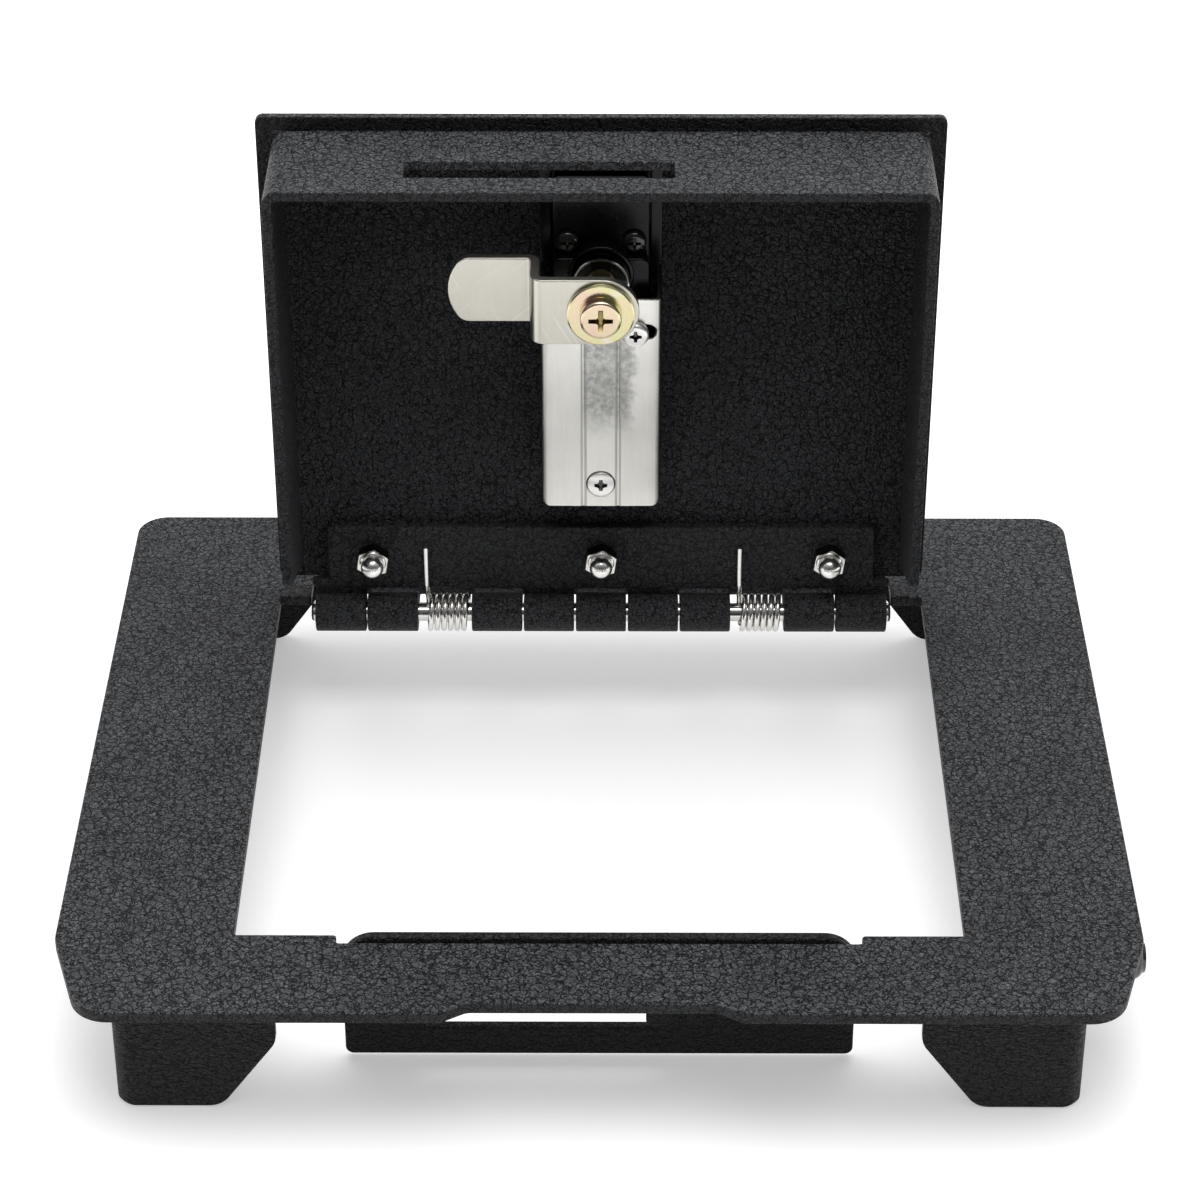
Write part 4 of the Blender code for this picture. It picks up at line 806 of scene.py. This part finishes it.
def cap_nut():
    """Acorn nut below its seat at 0: hexagon, neck and dome; its flats and seat face have the second skin,
    a painted dark reflection.
    """
    flats, height, neck_radius, neck_height, rise = 7.8, 3.6, 3.05, 1.7, 2.7
    corner = flats / 2 / cos(pi / 6)
    face, levels = flats / 2 * 0.94, 6
    chamfer = [((corner - r) * 0.55, r) for r in spaced(face, corner - face, levels)]
    hexagon = [(0, 2.6), (0, corner - 0.35), (-0.25, corner)]
    hexagon += [(-height + z, r) for z, r in reversed(chamfer)]
    neck = [(-height, 3.3), (-height - 0.15, neck_radius), (-height - neck_height, neck_radius)]
    dome = [(-height - neck_height - rise * sin(t), neck_radius * cos(t))
            for t in spaced(0, RIGHT, 12)[1:-1]]
    data = turned([(-4.3, 2.3)] + hexagon + neck + dome, 72, False, hex_reach(flats))
    data.normal_update()
    # The flats and the seat face take the second skin, a painted dark reflection; the chamfers stay
    # bright.
    for face in data.faces:
        steep = abs(face.normal.z)
        if -height - 0.2 < face.calc_center_median().z and (steep < 0.2 or steep > 0.9):
            face.material_index = 1
    return placed(data, Matrix.Rotation(radians(8), 4, "Z"))


# Lid

LID_HALF, LID_FRONT = 86.9, 144.9     # half width, and the far edge from the hinge
SKIRT_HALF, SKIRT_FRONT = 82.8, 141.2
LID_LOW, LID_TOP = 5.4, 7.9
CLAMP_HALF, CLAMP_END = 12.6, -134.4  # window for the lock, in the lid and its clamp


def lid_plate():
    """Cover sheet; the underside of its overhang past the skirt has the second skin, a painted shade."""
    tab, corner_y, tab_y = 75.5, -8, -5
    outline = rounded([
        (-LID_HALF, -LID_FRONT, 2), (LID_HALF, -LID_FRONT, 2), (LID_HALF, corner_y, 2),
        (tab, corner_y, 1), (tab, tab_y, 1), (-tab, tab_y, 1), (-tab, corner_y, 1),
        (-LID_HALF, corner_y, 2),
    ])
    data = plate(outline, [box(-CLAMP_HALF, CLAMP_HALF, CLAMP_END, -43.1, 2)], LID_LOW, LID_TOP, 0.4)
    split(data, 0, (-SKIRT_HALF, SKIRT_HALF))
    split(data, 1, (-SKIRT_FRONT,))
    return marked(data, lambda middle: middle.z < LID_LOW + 0.2
                  and (abs(middle.x) > SKIRT_HALF or middle.y < -SKIRT_FRONT))


def skirt():
    """Three walls bent from one sheet, with sloped ends and the slot; the rim has the second skin, a
    painted shade.
    """
    thick, radius, rim, top = 2.5, 4.0, -28.9, LID_LOW - GAP
    middle = radius - thick / 2
    wall, face = SKIRT_FRONT - radius, 2 * (SKIRT_HALF - radius)
    trail = channel((-SKIRT_HALF + thick / 2, 0), wall, face, middle)
    total = trail.length
    near, far = 13.5, 26.8
    outline = rounded([(near, top, 0.6), (far, rim, 3), (total - far, rim, 3), (total - near, top, 0.6)])
    start = wall + middle * RIGHT + SKIRT_HALF - radius
    slot = box(start - 48.5, start + 18.2, -20.55, -11.85, 0.6)
    data = bend(sheet(outline, [slot], thick, 0.3), trail, thick, ACROSS_Z)
    return marked(data, lambda middle: middle.z < rim + 0.1)


# Lock

LOW_SCREW_S, SIDE_SCREW_X, SIDE_SCREW_S = 49.3, 8.8, 94.4  # places of the cover's two screws


def lock_cover():
    """Channel over the lock, with two creases along it and a mouth round the boss."""
    thick, outer, drop, radius, top = 1.2, 15.5, 14.0, 2.2, LID_LOW - GAP
    wall, web = top + drop - radius, 2 * (outer - radius)
    trail = channel((-outer + thick / 2, top), wall, web, radius - thick / 2)
    centre, total = trail.length / 2, trail.length
    far, near, mouth = -103.6, -42.4, 9.5
    reach = acos((LOCK_S + far) / mouth)
    arc = circle(mouth, centre, -LOCK_S, 40, RIGHT - reach, 2 * reach)
    outline = rounded([(total, far, 0.5), (total, near, 2.2), (0, near, 2.2), (0, far, 0.5)]) + arc[::-1]
    holes = [circle(3.75, centre, -LOW_SCREW_S, 48), box(centre + 5.7, centre + 14.1, -96.5, -92.3, 2.05)]
    data = sheet(outline, holes, thick, 0.25)
    crease, floor, slope, depth = 4.5, 0.2, 0.25, 0.25
    edges = [crease - floor - slope, crease - floor, crease + floor, crease + floor + slope]
    split(data, 0, [centre + sign * edge for sign in (-1, 1) for edge in edges])
    for vert in data.verts:
        away = abs(abs(vert.co.x - centre) - crease)
        if away < floor + slope / 2 and vert.co.z < thick / 2:
            vert.co.z += depth
    bend(data, trail, thick, ACROSS_Y)
    corner = 2.8
    for vert in data.verts:
        past = min(corner, abs(vert.co.x) - (outer - corner))
        if past > 0 and vert.co.y > near - 1:
            vert.co.y -= corner - sqrt(corner ** 2 - past ** 2)
    return data


def lock_cam():
    """Stepped cam: a bowed tongue, a riser and a base with a round end."""
    thick, inner, tongue_z, base_z = 2.4, 1.0, -16.0, -27.8
    middle = inner + thick / 2
    reach, riser, end = 38.5, 16.4, 9.6
    drop = tongue_z - base_z - 2 * middle
    trail = Trail((-reach, tongue_z + thick / 2), 0,
                  [(reach - riser - middle, 0), (middle * RIGHT, -RIGHT), (drop, 0),
                   (middle * RIGHT, RIGHT), (end + riser - middle, 0)])
    total = trail.length
    half, bow, corner, square = 9.0, 13.0, 4.0, 2.6
    spread = asin(half / bow)
    tip = [(bow - bow * cos(t), bow * sin(t)) for t in spaced(spread, -2 * spread, 10)[1:-1]]
    first = bow - bow * cos(spread)
    round_end = circle(half, total - half, 0, 40, -RIGHT, pi)
    outline = rounded([(first, half, corner), *tip, (first, -half, corner), *map(tuple, round_end)])
    hole = box(total - end - square, total - end + square, -square, square, 0.4)
    return bend(sheet(outline, [hole], thick, 0.35), trail, thick, ACROSS_Y)


def cross_cutter(head, low, high, wide=0.13, long=0.62):
    """Tapered cross with a flared middle, wide at the head's face and narrow at its bottom."""
    arm, half, flare, taper = head * long, head * wide, head * wide * 1.9, 0.55
    quarter = [(half, arm), (half * 1.15, flare), (flare, half * 1.15), (arm, half)]
    outline = []
    for turn in range(4):
        spin = Matrix.Rotation(-RIGHT * turn, 2)
        outline += [spin @ Vector(point) for point in quarter]
    data = bmesh.new()
    lower = [data.verts.new((p.x, p.y, low)) for p in outline]
    upper = [data.verts.new((p.x * taper, p.y * taper, high)) for p in outline]
    data.faces.new(lower)
    data.faces.new(upper)
    band(data, lower, upper)
    # Every face of the cut takes the second skin, which, where a screw has one, paints shade in the
    # recess.
    return marked(data, lambda middle: True)


def round_over(head, height, corner, steps):
    """Steps (z, radius) round the edge of a head's face."""
    return [(corner - height - corner * sin(t), head - corner * (1 - cos(t)))
            for t in spaced(0, RIGHT, steps)]


def pan_screw(head, height, shank, length, crown=0.5, long=0.62):
    """Round head hanging below a seat at 0, with a cross recess in its face."""
    corner = min(height * 0.85, head * crown)
    profile = [(length, shank * 0.5), (length - 0.5, shank), (0, shank), (0, head - 0.12), (-0.12, head)]
    profile += round_over(head, height, corner, 10) + [(-height - 0.02, head * 0.2)]
    cross = cross_cutter(head, -height - 0.4, -height * 0.25, long=long)
    return combined("DIFFERENCE", turned(profile), cross)


def domed_screw():
    """Low domed head let into its hole in the cover, with a small cross recess."""
    head, rim, rise = 3.5, 0.5, 0.6
    sphere = (head ** 2 + rise ** 2) / (2 * rise)
    steps = [head * k / 12 for k in range(11, 0, -1)]
    dome = [(-rim - rise + sphere - sqrt(sphere ** 2 - r ** 2), r) for r in steps]
    profile = [(7.6, 0.6), (7.1, 1.2), (1.0, 1.2), (1.0, head - 0.3), (0.7, head), (-rim + 0.2, head),
               (-rim, head - 0.08)] + dome
    cross = cross_cutter(head, -rim - rise - 0.3, -0.1, 0.16, 0.56)
    return combined("DIFFERENCE", turned(profile), cross)


def cam_head():
    """Large flat round head with a cross recess."""
    head, height, corner = 5.2, 2.6, 0.8
    profile = [(8.0, 0.7), (7.5, 1.3), (0.25, 1.3), (0.25, head - 0.15), (0.1, head)]
    profile += round_over(head, height, corner, 8) + [(-height - 0.02, head * 0.3)]
    return combined("DIFFERENCE", turned(profile), cross_cutter(head, -height - 0.4, -0.8, 0.12, 0.64))


def washer():
    rim, bore = 8.4, 1.9
    return turned([(0, bore), (0, rim - 0.2), (-0.15, rim), (-0.9, rim), (-1.2, rim - 0.35), (-1.2, bore)],
                  ROUND, True)


def lock_housing():
    """Black block with a step, a boss and two screw posts, hollowed for the wheels and the barrel."""
    half, top = 12.2, LID_TOP
    main = plate(box(-half, half, -112.3, -43.5, 2), [], -8.4, top)
    step = plate(box(-half, half, -134.0, -108.0, 2), [], -4.6, top)
    boss = plate(circle(8.4, 0, -LOCK_S), [], -8.9, 5.0)
    posts = [plate(circle(3.0, x, -s, 40), [], -12.5, -8.0, 0.2)
             for x, s in ((0, LOW_SCREW_S), (SIDE_SCREW_X, SIDE_SCREW_S))]
    bay = plate(box(-10.9, 10.9, -91.8, -55.8), [], -7.3, 12.0, 0.1, 1)
    bore = plate(circle(7.6, 0, -LOCK_S), [], -16.0, 12.0, 0.1, 1)
    return combined("DIFFERENCE", combined("UNION", main, step, boss, *posts), bay, bore)


def lock_clamp():
    """Bracket round three sides of the housing, under the lid."""
    out, arm, far = 15.6, -105.5, -136.8
    outline = rounded([
        (-out, far, 2), (out, far, 2), (out, arm, 1), (CLAMP_HALF, arm, 0.5), (CLAMP_HALF, CLAMP_END, 0.5),
        (-CLAMP_HALF, CLAMP_END, 0.5), (-CLAMP_HALF, arm, 0.5), (-out, arm, 1),
    ])
    return plate(outline, [], 3.4, LID_LOW - GAP, 0.3)


DIALS = [60.0 + 9.2 * index for index in range(4)]  # axes of the wheels, from the hinge
DIAL_Z = 3.6
DIAL_RADIUS, FACES = 10.0, 10


def lock_bezel():
    wide, long = 9.4, 3.75
    holes = [box(-wide, wide, -s - long, -s + long, 0.8) for s in DIALS]
    holes.append(circle(4.2, 0, -LOCK_S))
    return plate(box(-16, 16, -137, -40.5, 4), holes, LID_TOP + GAP, 11.0, 0.8, 5)


def lock_barrel():
    """Chrome sleeve with a painted dark reflection on it; its rim has the second skin, plain chrome."""
    low, radius, seat, bore = -13.4, 7.3, 6.7, 4.2
    profile = [(LID_TOP, bore), (low + 1.0, bore), (low + 1.0, seat), (low + 0.1, seat), (low, seat + 0.1),
               (low, radius - 0.2), (low + 0.2, radius), (low + 0.6, radius), (LID_TOP, radius)]
    data = turned(profile, ROUND, True)
    return placed(marked(data, lambda middle: middle.z < low + 0.5 and middle.xy.length > seat),
                  shift(0, -LOCK_S, 0))


def lock_dial():
    """Number wheel about Y, centred, with a groove between each pair of faces."""
    half_face, groove, half_wide = radians(14.2), 9.3, 3.3
    outline = []
    for lobe in range(FACES):
        middle = FULL * (lobe + 0.5) / FACES
        turns = [(middle + half_face * k / 4, DIAL_RADIUS) for k in range(-4, 5)]
        for turn, radius in turns + [(middle + pi / FACES, groove)]:
            outline.append(Vector((radius * cos(turn), radius * sin(turn))))
    return placed(plate(outline, [circle(1.8, sides=32)], -half_wide, half_wide, 0.35), UPRIGHT)


def digit(text):
    """Flat numeral with a little thickness, centred on the origin."""
    curve = bpy.data.curves.new("digit", "FONT")
    curve.body = text
    curve.size = 5.2
    curve.extrude = 0.05
    curve.align_x, curve.align_y = "CENTER", "CENTER"
    made = linked("digit", curve)
    data = final_shape(made)
    bpy.data.objects.remove(made)
    return data


def dial_digits():
    """Numerals round a wheel, one on each face; the first stands for 8."""
    parts = []
    for lobe in range(FACES):
        turn = FULL * (lobe + 0.5) / FACES
        data = digit(str((lobe + 8) % FACES))
        parts.append(placed(data, shift(0, 0, DIAL_RADIUS), Matrix.Rotation(RIGHT - turn, 4, "Y")))
    return merged(*parts)


KNOB_LOW, KNOB_TOP = 11.3, 25.3


def knob():
    """Round base and grip bar."""
    rim, crown, height = 12.0, 0.8, KNOB_LOW + 3.2
    base = fillet(height, rim - crown, crown, 0.0, RIGHT)
    body = turned([(KNOB_LOW, rim - 0.4), (KNOB_LOW + 0.4, rim)] + base)
    grip = plate(box(-11, 11, -3.4, 3.4, 2.6), [], height, KNOB_TOP, 1.2, 5)
    return merged(body, grip)


def knob_mark():
    """Thin painted line along the top of the grip, at the end that points."""
    return plate(box(3.5, 9.6, -0.5, 0.5, 0.45), [], KNOB_TOP - 0.1, KNOB_TOP + 0.04, 0.05, 2)


def black_screw(x):
    return placed(pan_screw(3.0, 1.6, 1.2, 14.2), shift(x, -115.6, -4.9))


# Pieces

for name, data, space, skin, node in [
    ("plate_sheet", frame_plate(), ROOT, (coat, edge_coat_painted_shade), "frame_plate"),
    *[(f"leg_{end}_{hand}_sheet", leg(side, front), ROOT, leg_coat_painted_shade, f"leg_{end}_{hand}")
      for end, front in (("front", 1), ("rear", -1)) for hand, side in (("left", -1), ("right", 1))],
    ("strike_sheet", strike(), ROOT, strike_coat_painted_shade, "strike_plate"),
    ("bolt_stop_tab", bolt_stop(), ROOT, strike_coat_painted_shade, "bolt_stop"),
    ("side_button_screw", side_screw(), ROOT, black_steel, "side_screw"),
    ("side_nut_outside", side_nut(115.1), ROOT, black_steel, "side_nut_outer"),
    ("side_nut_inside", side_nut(106.8), ROOT, black_steel, "side_nut_inner"),
    ("frame_leaf_rolled", frame_leaf(), AXIS, leaf_coat_painted_shade, "hinge_frame_leaf"),
    ("hinge_rod", hinge_pin(), AXIS, (bright, leaf_coat_painted_shade), "hinge_pin"),
]:
    piece(name, data, space, "frame", skin, node)

for side, place in (("left", 2), ("right", 8)):
    lid_path, frame_path = spring_paths(place)
    piece(f"spring_coil_{side}", tube(frame_path, 0.76), AXIS, "frame", nut_steel, f"spring_{side}")
    piece(f"spring_leg_{side}", tube(lid_path, 0.74), AXIS, "lid", nut_steel)

for side, x in STUDS:
    frame_spot, frame_seat = shift(x, FRAME_STUD, 0), shift(x, FRAME_STUD, -6.4)
    lid_spot, lid_seat = shift(x, -LID_STUD, 0), shift(x, -LID_STUD, 2.1)
    for name, data, space, body, skin, node in [
        ("frame_stud", placed(threaded(-6.4, 0.6, 2.3), frame_spot), AXIS, "frame", bright, "hinge_stud"),
        ("frame_nut", placed(nut(7.8, 4.0, 2.6), frame_seat), AXIS, "frame", bright, "hinge_nut"),
        ("lid_thread", placed(threaded(-1.9, 5.1, 2.3), lid_spot), LID, "lid", bright, "lid_stud"),
        ("acorn_nut", placed(cap_nut(), lid_seat), LID, "lid", (cap_steel, nut_painted_dark_reflection), "cap_nut"),
    ]:
        piece(f"{name}_{side}", data, space, body, skin, f"{node}_{side}")

screw_skins = (screw_steel, recess)
lower_screw = placed(domed_screw(), shift(0, -LOW_SCREW_S, -13.9))
upper_screw = placed(pan_screw(3.4, 2.3, 1.2, 8.0, 0.35, 0.5), shift(SIDE_SCREW_X, -SIDE_SCREW_S, -14.3))
for name, data, skin, node in [
    ("lid_sheet", lid_plate(), (coat, overhang_coat_painted_shade), "lid_plate"),
    ("skirt_sheet", skirt(), (coat, edge_coat_painted_shade), "lid_skirt"),
    ("lid_leaf_rolled", lid_leaf(), leaf_coat_painted_shade, "hinge_lid_leaf"),
    ("cover_channel", lock_cover(), cover_steel, "lock_cover"),
    ("housing_block", lock_housing(), lock_black, "lock_housing"),
    ("clamp_bracket", lock_clamp(), lock_black, "lock_clamp"),
    ("bezel_frame", lock_bezel(), lock_black, "lock_bezel"),
    ("barrel_sleeve", lock_barrel(), (chrome_painted_dark_reflection, chrome), "lock_barrel"),
    ("cover_pan_screw", lower_screw, screw_skins, "cover_screw_lower"),
    ("cover_side_screw", upper_screw, screw_skins, "cover_screw_upper"),
    ("black_screw_left", black_screw(-8.5), black_steel, "housing_screw_left"),
    ("black_screw_right", black_screw(8.5), black_steel, "housing_screw_right"),
]:
    piece(name, data, LID, "lid", skin, node)

for index, s in enumerate(DIALS, start=1):
    spot, body = shift(0, -s, DIAL_Z), f"dial_{index}"
    piece(f"number_wheel_{index}", placed(lock_dial(), spot), LID, body, dial_black, body)
    piece(f"wheel_digits_{index}", placed(dial_digits(), spot), LID, body, mark_white)

for name, data, skin, node in [
    ("cam_plate", lock_cam(), cam_steel, "lock_cam"),
    ("zinc_washer", placed(washer(), shift(0, 0, -28.1)), zinc, "cam_washer"),
    ("zinc_screw", placed(cam_head(), shift(0, 0, -29.6)), (zinc, zinc_recess_painted_shade), "cam_screw"),
    ("turn_knob", knob(), lock_black, "lock_knob"),
    ("knob_line", knob_mark(), mark_white, None),
]:
    piece(name, data, TURN, "cam", skin, node)

for node, skin in (("lock_spindle", brass), ("dial_shaft", bright)):
    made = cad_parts[node]
    made.data.materials.clear()
    made.data.materials.append(skin)


# Stage, in metres

def stage_floor():
    """White to the camera and in gloss, with a painted shadow where the glow weakens near the part; greyer
    in what it throws back.
    """
    data = bmesh.new()
    bmesh.ops.create_grid(data, x_segments=1, y_segments=1, size=6.0)
    floor = mesh_object("floor", data)
    floor.location.z = -0.0002
    made = bpy.data.materials.new("white_floor")
    nodes = Nodes(made, clear=True)
    path = nodes.add("LightPath").outputs
    seen = nodes.sum(path["Is Camera Ray"], path["Is Glossy Ray"], "MAXIMUM")
    spot = nodes.add("TexCoord").outputs["Object"]
    away = nodes.add("VectorMath", {0: spot}, operation="LENGTH").outputs["Value"]
    # Glow weaker near the part: a painted shadow round it.
    glow_with_painted_shadow = nodes.span(away, 0.15, 0.42, 0.42, 0.95, "SMOOTHSTEP")
    diffuse = nodes.add("BsdfDiffuse", {"Color": nodes.span(seen, 0, 1, 0.34, 0.78)})
    glow = nodes.add("Emission", {"Strength": nodes.span(seen, 0, 1, 0, glow_with_painted_shadow)})
    both = nodes.add("AddShader", {0: diffuse.outputs["BSDF"], 1: glow.outputs["Emission"]})
    nodes.add("OutputMaterial", {"Surface": both.outputs["Shader"]})
    floor.data.materials.append(made)


def top_light():
    """Wide soft lamp above, turned to the part."""
    place, aim = Vector((0.03, 0.02, 1.4)), Vector((0, 0, 0.05))
    lamp = bpy.data.lights.new("top_light", "AREA")
    lamp.shape = "RECTANGLE"
    lamp.size, lamp.size_y = 1.3, 1.1
    lamp.energy = 16
    made = linked("top_light", lamp)
    made.location = place
    made.rotation_euler = (aim - place).to_track_quat("-Z", "Y").to_euler()


def studio_world():
    """Soft studio, white to the camera: bright overhead and behind, dim in front."""
    world = bpy.data.worlds.new("studio")
    bpy.context.scene.world = world
    nodes = Nodes(world, clear=True)
    place = nodes.add("TexCoord").outputs["Generated"]
    facing = nodes.add("VectorMath", {0: place, 1: (0, 0.6, 0.8)}, operation="DOT_PRODUCT")
    level = nodes.span(facing.outputs["Value"], -1, 1)
    light = nodes.ramp(level, (0.25, 0.07), (0.5, 0.2), (0.75, 0.8), (0.95, 1.1))
    soft = nodes.add("Background", {"Color": light, "Strength": 0.8})
    white = nodes.add("Background", {"Color": (1, 1, 1, 1)})
    seen = nodes.add("LightPath").outputs["Is Camera Ray"]
    mix = nodes.add("MixShader", {"Fac": seen, 1: soft.outputs[0], 2: white.outputs[0]})
    nodes.add("OutputWorld", {"Surface": mix.outputs["Shader"]})


def camera():
    """Solved from the plate's, the opening's and the lid's edges."""
    lens = bpy.data.cameras.new("camera")
    lens.lens = 108.326
    lens.sensor_width = 36.0
    lens.sensor_fit = "HORIZONTAL"
    lens.clip_start, lens.clip_end = 0.05, 30.0
    made = linked("camera", lens)
    made.location = (0.001653, -0.749863, 0.573340)
    made.rotation_euler = (radians(56.62), 0, radians(0.18))
    bpy.context.scene.camera = made


stage_floor()
top_light()
studio_world()
camera()
bpy.context.scene.view_settings.view_transform = "Standard"
